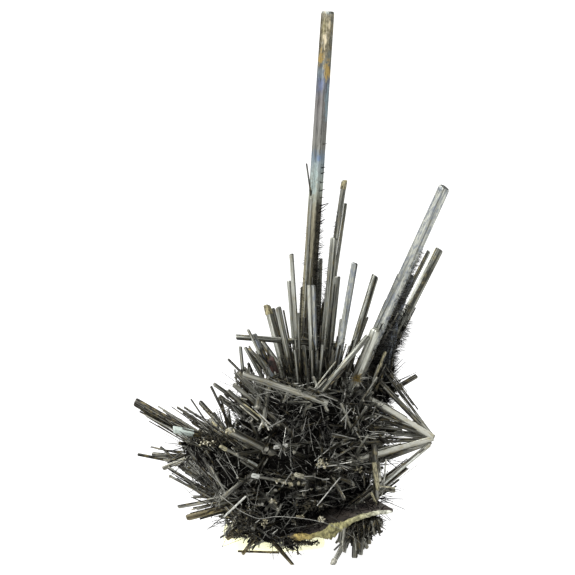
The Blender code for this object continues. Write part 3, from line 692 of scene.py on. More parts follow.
THIN_CRYSTALS = [
    ((6.2, 70.2, 2.6), (5.3, 76.5, 1.2), 0.4),
    ((9.4, 35.2, -1.0), (10.7, 52.4, -0.6), 0.5),
    ((14.0, 36.2, -1.0), (17.6, 45.8, 0.0), 0.5),
    ((2.4, 31.2, -1.5), (-1.3, 47.6, -0.8), 0.5),
    ((3.6, 32.2, -2.0), (0.7, 47.2, -1.0), 0.5),
    ((5.8, 29.6, -8.0), (5.6, 35.6, -7.0), 0.5),
    ((2.8, 31.6, -4.0), (1.2, 40.2, -3.0), 0.5),
    ((9.0, 31.6, -3.5), (10.2, 40.2, -3.0), 0.45),
    ((-6.6, 33.6, -4.0), (-10.4, 37.4, -3.0), 0.5),
    ((14.0, 24.0, -8.0), (24.4, 23.4, -7.0), 0.5),
    ((14.4, 21.8, -9.0), (30.4, 21.3, -6.0), 0.5),
    ((14.4, 23.2, -7.0), (25.0, 22.4, -7.0), 0.45),
    ((16.0, 18.5, -8.0), (24.4, 20.0, -7.0), 0.5),
    ((16.4, 10.4, -7.0), (22.6, 11.6, -6.0), 0.4),
    ((17.0, 10.8, -8.0), (28.8, 19.4, -6.5), 0.5),
    ((-12.4, 21.4, -8.0), (-17.8, 29.4, -6.0), 0.4),
    ((-9.6, 21.4, -9.0), (-13.2, 26.8, -8.0), 0.45),
    ((-17.0, 14.0, -1.0), (-24.0, 19.8, 2.0), 0.5),
    ((-10.4, 9.0, -6.0), (-18.8, 16.8, -3.0), 0.5),
    ((-10.4, 9.0, -9.0), (-17.4, 18.6, -9.0), 0.5),
    ((-10.4, 9.2, -9.0), (-15.4, 17.6, -10.0), 0.5),
    ((-10.2, 9.4, -9.0), (-13.8, 16.0, -11.0), 0.5),
    ((-5.4, 6.0, -8.0), (-12.0, 1.6, -7.0), 0.45),
    ((13.2, 1.6, -13.0), (10.8, -0.8, -13.0), 0.4),
    ((-10.4, 25.0, -7.0), (-13.8, 32.0, -5.0), 0.55),
    ((-10.6, 21.4, -8.0), (-20.6, 27.8, -5.0), 0.55),
    ((-9.8, 21.6, -8.0), (-19.2, 27.8, -5.0), 0.55),
    ((-10.8, 8.8, -9.0), (-18.4, 19.4, -8.0), 0.55),
]
ALL_LISTS = (UPRIGHT_FAN, LEANING_BUNCH, RIGHT_POINT, FRONT_BLADES, LEFT_SPRAYS, UNDERSIDE, SLAB_FOOT,
             THIN_CRYSTALS)
print("crystals in the lists:", sum(map(len, ALL_LISTS)))

# %% [markdown]
# ## The fan, the leaning bunch and the sprays
# The readings go through the crystal function, wide crystals with more sides so that their grooves are real
# shape. The tall crystal is left out of the fan here, because it has a finish and a piece of its own. Every
# foot goes on into the heart, as it does in the solids, so nothing hangs in the air when seen from above or
# behind.

# %% Build the large crystals
ROOT = 4.0
FINE_SIDES = ((2.0, 28), (1.2, 20), (0.8, 14), (0.5, 8), (0.0, 6))


def sides_for(width):
    return next(sides for least, sides in FINE_SIDES if width > least)


def grow_rows(growth, rows, rng, tones=(), root=ROOT, **how):
    """Adds each (foot, tip, width) row as a crystal, rooted in the heart. tones are their grains."""
    for number, (foot, tip, width) in enumerate(rows):
        foot, tip = place(*foot), place(*tip)
        foot = foot - (tip - foot).normalized() * root * MM
        grain = tones[number] if number < len(tones) else 0.6 * rng.random()
        crystal(growth, foot, tip, width, rng, sides=sides_for(width), grooves=0.07, grain=grain, **how)


def dress(mesh, name, finish, node, smooth):
    """Gives a mesh its finish and makes it a piece that rides on the body and stands for a node."""
    mesh.materials.append(finish)
    if smooth:
        mesh.shade_smooth()
    piece = bpy.data.objects.new(name, mesh)
    bpy.context.scene.collection.objects.link(piece)
    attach(piece, BODY)
    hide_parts(node)
    print(name, "has", sum(len(p.vertices) - 2 for p in mesh.polygons), "triangles")


def add_piece(growth, name, finish, node="crystal_cluster", smooth=False):
    """Turns a growth into a piece. Most are stibnite and belong to the cluster."""
    dress(growth.to_mesh(name), name, finish, node, smooth)


tall = Growth()
tall_foot, tall_tip = place(*UPRIGHT_FAN[0][0]), place(*UPRIGHT_FAN[0][1])
tall_axis = (tall_tip - tall_foot).normalized()
tall_width = UPRIGHT_FAN[0][2]
crystal(tall, tall_foot - tall_axis * ROOT * MM, tall_tip, tall_width, random.Random(5), sides=32, turn=0.12,
        thickness=0.85, grooves=0.05, grain=0.3, end=0.84, slants=(0.0, 0.2))
add_piece(tall, "tall_crystal", tall_finish)

# Tones read from the portrait, one for each row after the tall crystal: 0 is dark, 1 is light
FAN_TONES = [0.35, 0.58, 0.55, 0.3, 0.6, 0.45, 0.25, 0.6, 0.56, 0.35, 0.33, 0.2, 0.66, 0.3, 0.2, 0.4, 0.64,
             0.35, 0.3, 0.35, 0.35, 0.3, 0.3, 0.55, 0.4, 0.35, 0.45]
LEANING_TONES = [0.7, 0.3, 0.26, 0.0, 0.0, 0.8, 0.9, 0.44]
THIN_TONES = [0.1] * 18 + [0.6, 0.3, 0.6, 0.4] + [0.1] * 6
POINT_TONES = [0.95, 0.62, 0.5, 0.15, 0.6, 0.95, 0.7, 0.3, 0.05, 0.05, 0.05, 0.05, 0.2]
FRONT_TONES = [0.65, 0.1, 0.15, 0.5, 0.5, 0.45, 0.3, 0.7, 0.6, 0.5, 0.65, 0.5, 0.4, 0.6, 0.3, 0.3, 0.4]
LEFT_TONES = [0.08, 0.0, 0.2, 0.1, 0.3, 0.4, 0.3, 0.2, 0.1, 0.3]
UNDERSIDE_TONES = [0.45, 0.2, 0.2, 0.2, -0.4, 0.1, 0.25]

blades = Growth()
rng = random.Random(11)
grow_rows(blades, UPRIGHT_FAN[1:-1], rng, FAN_TONES, turn=0.15)
grow_rows(blades, LEANING_BUNCH, rng, LEANING_TONES, turn=0.15)
add_piece(blades, "fan_and_leaning_crystals", blade_finish)

spreading = Growth()
rng = random.Random(12)
grow_rows(spreading, RIGHT_POINT, rng, POINT_TONES, turn=0.2)
grow_rows(spreading, FRONT_BLADES, rng, FRONT_TONES)
grow_rows(spreading, LEFT_SPRAYS[:2] + LEFT_SPRAYS[3:], rng, LEFT_TONES)
grow_rows(spreading, THIN_CRYSTALS, rng, THIN_TONES)
add_piece(spreading, "spreading_crystals", grey_finish)

brown = Growth()
grow_rows(brown, UNDERSIDE + LEFT_SPRAYS[2:3], random.Random(14), UNDERSIDE_TONES)
add_piece(brown, "brown_coated_crystals", brown_finish)

# %% [markdown]
# ## A red-brown stub
# One short thick crystal in the fan is dark red-brown. It is the last reading of the fan's list, and a
# piece of its own only because a piece has one finish.

# %% The red-brown stub in the fan
stub = Growth()
grow_rows(stub, UPRIGHT_FAN[-1:], random.Random(15))
add_piece(stub, "red_brown_stub", stub_finish)

# %% [markdown]
# ## The sprays at the sides and the back
# The sides and the back aren't in the portrait, but the specimen has them. The same cones of crystals as in
# the solids are grown here from the same seeds, so both agree. More crystals lie criss-cross on the heart's
# skin.

# %% Sprays on the sides and back
SPRAYS = [
    ((5, 6, 27), (-0.2, 0.7, 0.8), 32, 12, (10, 20), (0.7, 1.5)),
    ((12, 6, 22), (0.8, 0.7, 0.3), 34, 10, (9, 18), (0.7, 1.3)),
    ((-6, 6, 17), (-0.6, 0.85, 0.05), 32, 11, (9, 19), (0.7, 1.4)),
    ((3, 8, 15), (0.1, 1.0, 0.0), 45, 12, (9, 19), (0.7, 1.4)),
    ((-6, 2, 11), (-0.8, 0.6, 0.1), 28, 9, (9, 16), (0.6, 1.1)),
    ((10, 4, 12), (0.8, 0.6, -0.2), 32, 9, (8, 16), (0.6, 1.2)),
    ((-3, 2, 28), (-0.5, 0.5, 0.8), 26, 9, (6, 10), (0.5, 0.9)),
    ((14, -4, 27), (0.5, -0.5, 0.7), 34, 8, (6, 10), (0.5, 0.8)),
    ((-2, -6, 22), (-0.4, -0.9, 0.2), 50, 9, (7, 12), (0.7, 1.3)),
    ((8, -5, 18), (0.1, -1.0, 0.1), 55, 12, (8, 12), (0.7, 1.3)),
    ((-4, -5, 12), (-0.3, -1.0, -0.1), 50, 8, (7, 12), (0.7, 1.2)),
]
SPRAY_SEED = 7
GOLDEN_ANGLE = math.pi * (3 - math.sqrt(5))
CRISS_CROSS = 24
CRISS_CROSS_SEED = 23
CRISS_CROSS_LENGTH = (6.0, 11.0)
CRISS_CROSS_WIDTH = (0.7, 1.5)
HEART_LUMPS = [
    ((4.0, 17.2, 0.0), (15.0, 12.0, 11.6)),
    ((7.0, 28.4, -2.0), (10.0, 8.0, 4.6)),
    ((-8.4, 16.2, -3.0), (6.4, 7.0, 7.0)),
    ((-3.4, 7.2, -4.0), (8.4, 7.6, 4.6)),
    ((14.4, 21.4, -2.0), (6.0, 7.6, 8.0)),
    ((-4.0, 28.6, -4.0), (5.0, 4.6, 4.0)),
    ((-14.8, 19.4, -5.0), (4.4, 3.0, 2.6)),
    ((14.0, 9.8, 0.0), (5.6, 7.0, 3.2)),
    ((3.0, 19.0, 7.0), (11.0, 8.0, 9.0)),
    ((19.6, 31.0, 0.0), (2.6, 2.6, 4.0)),
    ((-0.6, 2.8, -10.4), (5.2, 2.6, 2.6)),
    ((2.0, 0.8, -12.8), (1.5, 2.2, 1.3)),
]


def stretched(way, radii):
    """A vector whose three parts are each taken times a radius."""
    return Vector([part * radius for part, radius in zip(way, radii)])


def spray_crystals(rng):
    """(foot, tip, width) of each crystal in the sprays, in metres and mm."""
    made = []
    for heart, direction, half_angle, count, reach, width in SPRAYS:
        heart = Vector(heart) * MM
        main = Vector(direction).normalized()
        first = main.orthogonal().normalized()
        second = main.cross(first)
        for i in range(count):
            # A golden-angle spiral spreads the crystals evenly over the cone
            lean = math.radians(half_angle) * math.sqrt((i + 0.5) / count)
            lean += math.radians(rng.uniform(-4, 4))
            round_it = i * GOLDEN_ANGLE + rng.uniform(-0.3, 0.3)
            sideways = first * math.cos(round_it) + second * math.sin(round_it)
            towards = main * math.cos(lean) + sideways * math.sin(lean)
            shift = Vector([rng.uniform(-1.5, 1.5) for _ in range(3)]) * MM
            foot = heart + shift
            tip = foot + towards * rng.uniform(*reach) * MM
            made.append((foot, tip, rng.uniform(*width)))
    return made


def criss_cross_crystals(rng):
    """(foot, tip, width) of the crystals that lie on the heart's skin, in metres and mm."""
    made = []
    while len(made) < CRISS_CROSS:
        centre, radii = rng.choice(HEART_LUMPS[:6])
        out = Vector((rng.gauss(0, 1), rng.gauss(-0.3, 1), rng.gauss(0, 0.8))).normalized()
        on_skin = place(*centre) + stretched(out, radii) * 0.9 * MM
        along = out.orthogonal().normalized()
        along = Matrix.Rotation(rng.uniform(0, 2 * math.pi), 3, out) @ along
        along = (along + out * rng.uniform(0.05, 0.5)).normalized()
        length = rng.uniform(*CRISS_CROSS_LENGTH) * MM
        foot = on_skin - along * 0.4 * length
        made.append((foot, on_skin + along * 0.6 * length, rng.uniform(*CRISS_CROSS_WIDTH)))
    return made


others = Growth()
rng = random.Random(13)
for foot, tip, width in (spray_crystals(random.Random(SPRAY_SEED))
                         + criss_cross_crystals(random.Random(CRISS_CROSS_SEED))):
    if in_box(tip):
        crystal(others, foot, tip, width, rng, sides=sides_for(width), grooves=0.06, grain=0.5 * rng.random())
add_piece(others, "side_and_back_sprays", grey_finish)

# %% [markdown]
# ## The heart
# Behind the needles lies a tangle that no eye can resolve. A group of jagged lumps, painted near-black as
# painted shade, stands for it: spheres stretched to the size of each part of the thicket, whose skin a noise
# pushes in and out. Only darkness shows between the needles, so more shape than that would be wasted.

# %% The heart's dark lumps
LUMP_SKIN = (0.78, 1.02)
LUMP_DETAIL = 5
HEART_SHARE = 0.93  # of the radii listed, because needles fill up the rest


def lump(bm, centre, radii, seed, subdivisions=LUMP_DETAIL):
    """A jagged dark lump: noise pushes its skin in and out."""
    for vert in bmesh.ops.create_icosphere(bm, subdivisions=subdivisions, radius=1.0)["verts"]:
        spot = vert.co * 2.2 + Vector((seed, 0, 0))
        wander = noise.noise(spot) + 0.6 * noise.noise(spot * 3.1) + 0.4 * noise.noise(spot * 8.0)
        low, high = LUMP_SKIN
        reach = low + (high - low) * max(0.0, min(1.0, 0.5 + 0.6 * wander))
        vert.co = centre + stretched(vert.co, radii) * reach * MM


def mesh_piece(bm, name, finish, node="crystal_cluster", smooth=False):
    """Turns a bmesh into a piece."""
    bmesh.ops.recalc_face_normals(bm, faces=bm.faces)
    mesh = bpy.data.meshes.new(name)
    bm.to_mesh(mesh)
    bm.free()
    dress(mesh, name, finish, node, smooth)


# The heart's lumps take its painted near-black shade
bm = bmesh.new()
for number, (centre, radii) in enumerate(HEART_LUMPS):
    lump(bm, place(*centre), [HEART_SHARE * r for r in radii], 3.1 * number)
mesh_piece(bm, "thicket_heart", heart_shade_finish)

# %% [markdown]
# ## Where the front surface lies
# Small things read from the portrait, such as a crumb of cream mineral, have to sit on whatever carries
# them. A ray is sent in from the front at the point read, and it gives the place where it meets the
# crystals or the heart. A search tree (BVH) over the meshes built so far answers thousands of such
# questions quickly.

# %% Find the carrier from the front
heart_mesh = bpy.data.objects["thicket_heart"].data
carrier_parts = [(growth.verts, growth.faces) for growth in (blades, spreading, others)]
carrier_parts.append(([v.co.copy() for v in heart_mesh.vertices], [p.vertices for p in heart_mesh.polygons]))
carrier_verts = []
carrier_faces = []
for verts, faces in carrier_parts:
    shift = len(carrier_verts)
    carrier_verts.extend(verts)
    carrier_faces.extend(tuple(i + shift for i in face) for face in faces)
carriers = BVHTree.FromPolygons(carrier_verts, carrier_faces)


def on_front(across, up):
    """Where a line of sight from the front first meets the crystals or the heart. None if it misses."""
    start = place(across, up, -60)
    return carriers.ray_cast(start, (place(across, up, 60) - start).normalized())[0]


print("the front surface at 0, 20 is", on_front(0, 20))

# %% [markdown]
# ## Companions
# Large crystals never grow alone. Along each one run thinner ones, nearly parallel, some shorter. They make
# bundles out of single rods, and they are what turns a bare fan into a thicket. Their number falls with
# height, because most stop early.

# %% Thin crystals beside the large ones
COMPANION_ROOT = 2.0
COMPANIONS = [
    # whose, how many each, how far out in mm, how far up as shares of the large one, width in mm
    (UPRIGHT_FAN[:-1], 12, 1.6, (0.1, 0.42), (0.2, 0.6)),
    (LEANING_BUNCH, 10, 1.4, (0.15, 0.6), (0.2, 0.55)),
    (LEFT_SPRAYS, 12, 1.5, (0.3, 0.95), (0.15, 0.5)),
    (RIGHT_POINT, 7, 1.2, (0.2, 0.8), (0.12, 0.4)),
    (UNDERSIDE[:4], 16, 1.4, (0.3, 0.9), (0.15, 0.5)),
    (FRONT_BLADES, 6, 1.4, (0.2, 0.8), (0.12, 0.4)),
]


def jitter(rng, spread=1.0):
    """A random vector with no direction of its own."""
    return Vector([rng.gauss(0, spread) for _ in range(3)])


def companions(growth, rows, count, rng, spread, share, width):
    """Thin crystals beside each row's crystal."""
    for foot, tip, _ in rows:
        foot, tip = place(*foot), place(*tip)
        axis = (tip - foot).normalized()
        for _ in range(count):
            away = jitter(rng)
            away = (away - axis * away.dot(axis)).normalized()
            base = foot + away * rng.uniform(0.3, 1.0) * spread * MM - axis * COMPANION_ROOT * MM
            reach = rng.uniform(*share)
            end = foot + (tip - foot) * reach + away * rng.uniform(0.2, 1.2) * spread * MM
            end += jitter(rng, 0.25) * spread * MM
            if in_box(end) and in_box(base):
                crystal(growth, base, end, rng.uniform(*width), rng, sides=5, grooves=0.1,
                        grain=0.7 * rng.random() ** 2)


bundles = Growth()
rng = random.Random(21)
for rows, count, spread, share, width in COMPANIONS:
    companions(bundles, rows, count, rng, spread, share, width)
add_piece(bundles, "companion_crystals", grey_finish)

# %% [markdown]
# ## Crystals that stay uncovered
# Some large crystals lie on the tangle and show from end to end. Needles that are placed at random would
# cross them, so each needle is tested first: five points along it are turned into across, up and depth, and
# none of them may lie in front of such a crystal.

# %% Test whether a needle would cover a large crystal
SHOWN_MARGIN = 0.15
SHOWN_FROM = 0.25  # the share of a crystal nearest its foot that may be covered


def as_seen(point):
    """Across, up and depth in mm of a point in metres, as seen from the front."""
    return Vector((point.x, point.z * math.cos(VIEW_TILT) + point.y * math.sin(VIEW_TILT),
                   point.y * math.cos(VIEW_TILT) - point.z * math.sin(VIEW_TILT))) / MM


SHOWN = FRONT_BLADES[0:1] + FRONT_BLADES[3:5] + FRONT_BLADES[10:12] + RIGHT_POINT[:2] + RIGHT_POINT[4:6]
SHOWN += LEANING_BUNCH[6:8] + UNDERSIDE[:1] + UPRIGHT_FAN[-6:-5]
SHOWN_LINES = [(as_seen(place(*foot).lerp(place(*tip), SHOWN_FROM)), as_seen(place(*tip)), 0.5 * width)
               for foot, tip, width in SHOWN]


def covers(foot, tip):
    """Whether a needle from foot to tip would pass in front of one of the shown crystals."""
    for share in (0.0, 0.25, 0.5, 0.75, 1.0):
        point = as_seen(foot.lerp(tip, share))
        for start, end, half in SHOWN_LINES:
            run, way = (end - start).to_2d(), (point - start).to_2d()
            along = max(0.0, min(1.0, way.dot(run) / run.length_squared))
            near = start.lerp(end, along)
            if (point - near).to_2d().length < half + SHOWN_MARGIN and point.z < near.z:
                return True
    return False


print("crystals that stay uncovered:", len(SHOWN))

# %% [markdown]
# ## The needles of the thicket
# Between the crystals stand thousands of needles. Each starts just under the skin of a heart lump and
# points outward, with a wide scatter, so the thicket bristles evenly on all sides. Geometry Nodes could
# scatter instances, but the needles must be real mesh in the end, and a seeded loop gives exactly that.

# %% Needles all over the heart
NEEDLES = 4600
NEEDLE_LENGTH = (1.5, 7.0)
NEEDLE_WIDTH = (0.09, 0.32)
UNDER_SKIN = 0.88  # of a lump's radius
ABOVE_PAD = 0.0034  # in metres, like the next two
PAD_FRONT = -0.0074
FLOOR_GAP = 0.0003


def clear_of_pad(point, lowest):
    """Whether a point is above the pad, or hangs in front of it."""
    return point.z > lowest or (point.y < PAD_FRONT and point.z > FLOOR_GAP)


def scattered_needles(growth, lumps, count, rng, length, width, scatter=0.55, inward=1.5, lowest=ABOVE_PAD):
    """Needles that start on the lumps' skin and point outward with a scatter."""
    weights = [max(radii) ** 2 for _, radii in lumps]
    made = 0
    while made < count:
        centre, radii = rng.choices(lumps, weights)[0]
        out = jitter(rng).normalized()
        skin = place(*centre) + stretched(out, radii) * UNDER_SKIN * MM
        towards = (out + jitter(rng, scatter)).normalized()
        tip = skin + towards * rng.uniform(*length) * MM
        foot = skin - towards * inward * MM
        if in_box(tip) and in_box(foot) and clear_of_pad(tip, lowest) and not covers(foot, tip):
            needle(growth, foot, tip, rng.uniform(*width), rng, grain=0.8 * rng.random() ** 4)
            made += 1


needles = Growth()
scattered_needles(needles, HEART_LUMPS, NEEDLES, random.Random(31), NEEDLE_LENGTH, NEEDLE_WIDTH)
add_piece(needles, "thicket_needles", needle_finish)

# %% [markdown]
# ## The tangle on top
# The thicket's outermost layer lies criss-cross, like dropped matches: slim blades and light needles that
# run across the skin, not out of it. Each one gets a place on a lump's skin and a direction along it,
# turned a little up or down. The slim blades are real crystals; the light needles are the cheap four-sided
# kind, and their pale tone is partly their own and partly painted glint.

# %% Blades and needles across the skin
def across_the_skin(lumps, count, rng, length, rise, lift):
    """(foot, tip) pairs that lie along the lumps' skin, in metres."""
    weights = [max(radii) ** 2 for _, radii in lumps]
    made = []
    while len(made) < count:
        centre, radii = rng.choices(lumps, weights)[0]
        out = jitter(rng).normalized()
        skin = place(*centre) + stretched(out, radii) * rng.uniform(*lift) * MM
        normal = Vector([o / r for o, r in zip(out, radii)]).normalized()
        along = Matrix.Rotation(rng.uniform(0, 2 * math.pi), 3, normal) @ normal.orthogonal().normalized()
        along = (along + normal * rng.uniform(*rise)).normalized()
        reach = rng.uniform(*length) * MM
        foot, tip = skin - along * 0.4 * reach, skin + along * 0.6 * reach
        clear = all(clear_of_pad(end, ABOVE_PAD) for end in (foot, tip))
        if in_box(foot) and in_box(tip) and clear and not covers(foot, tip):
            made.append((foot, tip))
    return made


SLIM_BLADES = 420
slim = Growth()
rng = random.Random(33)
for foot, tip in across_the_skin(HEART_LUMPS, SLIM_BLADES, rng, (3.0, 9.0), (-0.15, 0.7), (0.9, 1.02)):
    crystal(slim, foot, tip, rng.uniform(0.25, 0.75), rng, sides=6, grooves=0.1, grain=0.9 * rng.random() ** 3)
add_piece(slim, "slim_blades", grey_finish)

PALE_GLINT_NEEDLES = 1500
light = Growth()
rng = random.Random(34)
# Their pale tones are partly the needles' own and partly painted glints, where thin metal catches the light
for foot, tip in across_the_skin(HEART_LUMPS, PALE_GLINT_NEEDLES, rng, (1.2, 6.5), (-0.2, 0.9), (0.95, 1.1)):
    needle(light, foot, tip, rng.uniform(0.07, 0.18), rng, grain=rng.uniform(0.2, 1.5), point=0.7)
add_piece(light, "pale_glint_needles", needle_finish)

# %% [markdown]
# ## Bristles
# On the shady side of the tall crystal and between the leaning ones grows a fur of short stiff bristles.
# They stand out sideways and a little up. Each starts on the crystal's own surface, at a random share of
# its length. Hair particles could do this too, but needles need no conversion. The table says where each
# patch of fur grows. Ten thicker thorns on the tall crystal are read one by one.

# %% Bristles on the tall and the leaning crystals
TALL_THORNS = [
    ((8.0, 68.0, 2.4), (9.8, 68.6, 2.2), 0.5), ((7.9, 67.2, 2.2), (9.6, 68.4, 2.0), 0.42),
    ((7.8, 66.6, 2.2), (9.2, 67.4, 1.8), 0.36), ((8.6, 80.3, 3.0), (9.5, 80.5, 2.8), 0.3),
    ((8.3, 75.6, 2.8), (9.2, 75.8, 2.6), 0.34), ((8.2, 74.4, 2.8), (9.0, 74.8, 2.6), 0.34),
    ((8.1, 71.0, 2.6), (9.0, 71.4, 2.4), 0.34), ((8.0, 69.6, 2.4), (8.9, 69.8, 2.2), 0.3),
    ((7.8, 64.6, 2.2), (9.0, 65.4, 1.8), 0.34), ((8.0, 72.6, 2.6), (8.8, 72.8, 2.4), 0.3),
]


def bristles(growth, row, span, count, rng, towards, length, width, wide):
    """Short bristles on one side of a row's crystal. span is the stretch, as shares of its length."""
    foot, tip = place(*row[0]), place(*row[1])
    axis = (tip - foot).normalized()
    towards = Vector(towards).normalized()
    for _ in range(count):
        share = span[0] + (span[1] - span[0]) * rng.random() ** 1.3
        way = (towards + jitter(rng, wide) + axis * rng.uniform(0.0, 0.8)).normalized()
        across = (way - axis * way.dot(axis)).normalized()
        start = foot + (tip - foot) * share + across * 0.3 * row[2] * MM
        end = start + way * rng.uniform(*length) * (1.15 - share) * MM
        if in_box(end):
            needle(growth, start, end, rng.uniform(*width), rng, grain=0.5 * rng.random() ** 3, point=0.3)


STIFF = (0.06, 0.14)
FUR = [
    # crystal, stretch of it, how many, which way, length and width in mm, how wildly
    (UPRIGHT_FAN[0], (0.02, 0.46), 1100, (1, -0.4, 0.1), (0.8, 2.4), STIFF, 0.5),
    (UPRIGHT_FAN[0], (0.02, 0.3), 300, (-0.6, -0.8, 0.1), (0.6, 1.6), STIFF, 0.5),
    (UPRIGHT_FAN[0], (0.3, 0.44), 26, (1, -0.2, 0.0), (2.0, 4.2), (0.06, 0.1), 0.2),
    (UPRIGHT_FAN[0], (0.16, 0.44), 16, (-1, -0.2, 0.0), (2.0, 4.0), (0.06, 0.1), 0.2),
    (UPRIGHT_FAN[0], (0.4, 0.8), 30, (0.2, -0.4, 0.1), (0.8, 1.8), STIFF, 0.5),
    (LEANING_BUNCH[0], (0.02, 0.7), 1500, (0.8, 0.0, -0.4), (1.2, 3.2), STIFF, 0.5),
    (LEANING_BUNCH[1], (0.0, 0.75), 700, (0.3, -0.8, -0.1), (0.6, 1.6), STIFF, 0.9),
    (LEANING_BUNCH[2], (0.0, 0.6), 900, (-0.5, -0.6, 0.2), (0.8, 2.4), STIFF, 0.5),
    (LEANING_BUNCH[2], (0.0, 0.5), 500, (0.9, -0.2, -0.3), (0.8, 3.4), STIFF, 0.5),
    (LEANING_BUNCH[3], (0.0, 0.95), 1800, (0.1, -1.0, 0.1), (0.6, 1.8), STIFF, 0.9),
    (LEANING_BUNCH[4], (0.0, 0.9), 1100, (0.7, -0.6, 0.1), (0.8, 3.2), STIFF, 0.8),
]
FUR += [(row, (0.0, 0.4), 110, (0.1, -1.0, 0.2), (0.5, 1.8), STIFF, 0.8) for row in UPRIGHT_FAN[3:16]]
FUR += [
    (UPRIGHT_FAN[5], (0.25, 0.85), 260, (-1.0, -0.3, 0.1), (0.8, 2.6), (0.05, 0.11), 0.5),
    (UPRIGHT_FAN[0], (0.1, 0.34), 60, (-1.0, -0.2, 0.1), (1.0, 2.6), (0.05, 0.1), 0.3),
    (LEANING_BUNCH[2], (0.0, 0.45), 500, (1.0, -0.1, -0.1), (1.2, 4.2), (0.06, 0.12), 0.5),
    (UPRIGHT_FAN[-1], (0.0, 1.0), 160, (-0.2, -1.0, 0.3), (0.4, 1.0), STIFF, 0.9),
]
fur = Growth()
rng = random.Random(41)
for row, span, count, towards, length, width, wide in FUR:
    bristles(fur, row, span, count, rng, towards, length, width, wide)
for foot, tip, width in TALL_THORNS:
    needle(fur, place(*foot), place(*tip), width, rng, grain=0.0, point=0.4)
add_piece(fur, "bristles", needle_finish)

# %% [markdown]
# ## Hairs that bend
# One long hair runs in an arc across the lower front, and thin bent hairs hang about the left tangle and
# the right shoulder. The long one is a listed route; the others start at crystals found from the front
# and wander.

# %% The long hair and the small ones
LONG_HAIR = [
    (-12.0, 10.2, -13.0), (-9.6, 8.4, -14.6), (-8.0, 7.2, -15.4), (-6.0, 6.2, -16.2), (-4.0, 5.6, -16.8),
    (-1.0, 6.0, -17.2), (2.0, 5.9, -17.4), (5.0, 5.6, -17.4), (8.0, 5.0, -17.4), (10.0, 4.4, -17.3),
    (13.0, 3.0, -17.0), (15.0, 1.6, -16.6), (16.4, 0.4, -16.2),
]
HAIR_TUFTS = [
    # (across, up), how many, reach in mm, spread
    ((-12.6, 10.4), 26, 4.5, 1.4),
    ((-15.4, 11.2), 14, 4.0, 1.4),
    ((16.4, 33.0), 26, 4.5, 2.2),
    ((13.0, 9.0), 14, 4.0, 1.6),
    ((14.0, 13.0), 14, 4.0, 2.4),
    ((-20.0, 20.4), 12, 4.0, 2.0),
    ((-13.0, 22.0), 16, 5.0, 2.4),
    ((8.0, 20.0), 10, 5.0, 3.0),
]
HAIR_BENDS = 4
hairs = Growth()
hair(hairs, [place(*p) for p in LONG_HAIR], 0.15, 0.6, steps=6, sides=6)
needle(hairs, place(-10.0, 7.0, -13.7), place(-14.2, 3.6, -14.6), 0.3, random.Random(52), grain=0.35)
rng = random.Random(51)
for (across, up), count, reach, spread in HAIR_TUFTS:
    for _ in range(count):
        spot = on_front(across + rng.gauss(0, 0.5) * spread, up + rng.gauss(0, 0.5) * spread)
        if spot is None:
            continue
        way = Vector([rng.gauss(0, 1), rng.gauss(-0.6, 0.5), rng.gauss(0.1, 1)]).normalized()
        points = [spot]
        for _ in range(HAIR_BENDS):
            way = (way + jitter(rng, 0.45)).normalized()
            points.append(points[-1] + way * reach / HAIR_BENDS * MM)
        if all(in_box(p, 0.0003) for p in points):
            hair(hairs, points, rng.uniform(0.06, 0.11), rng.uniform(0.3, 0.9), steps=3)
add_piece(hairs, "bent_hairs", needle_finish)

# %% [markdown]
# ## Pale ends and pale crystals
# Some crystals end in a face painted white or cyan, a painted highlight, or carry a pale coat of cream. Each
# is a short sleeve, a little wider than its crystal, slipped over the end, because a coat that is painted on
# would need a finish for each crystal. A few crystals are pale from end to end. All of them are read one by
# one.

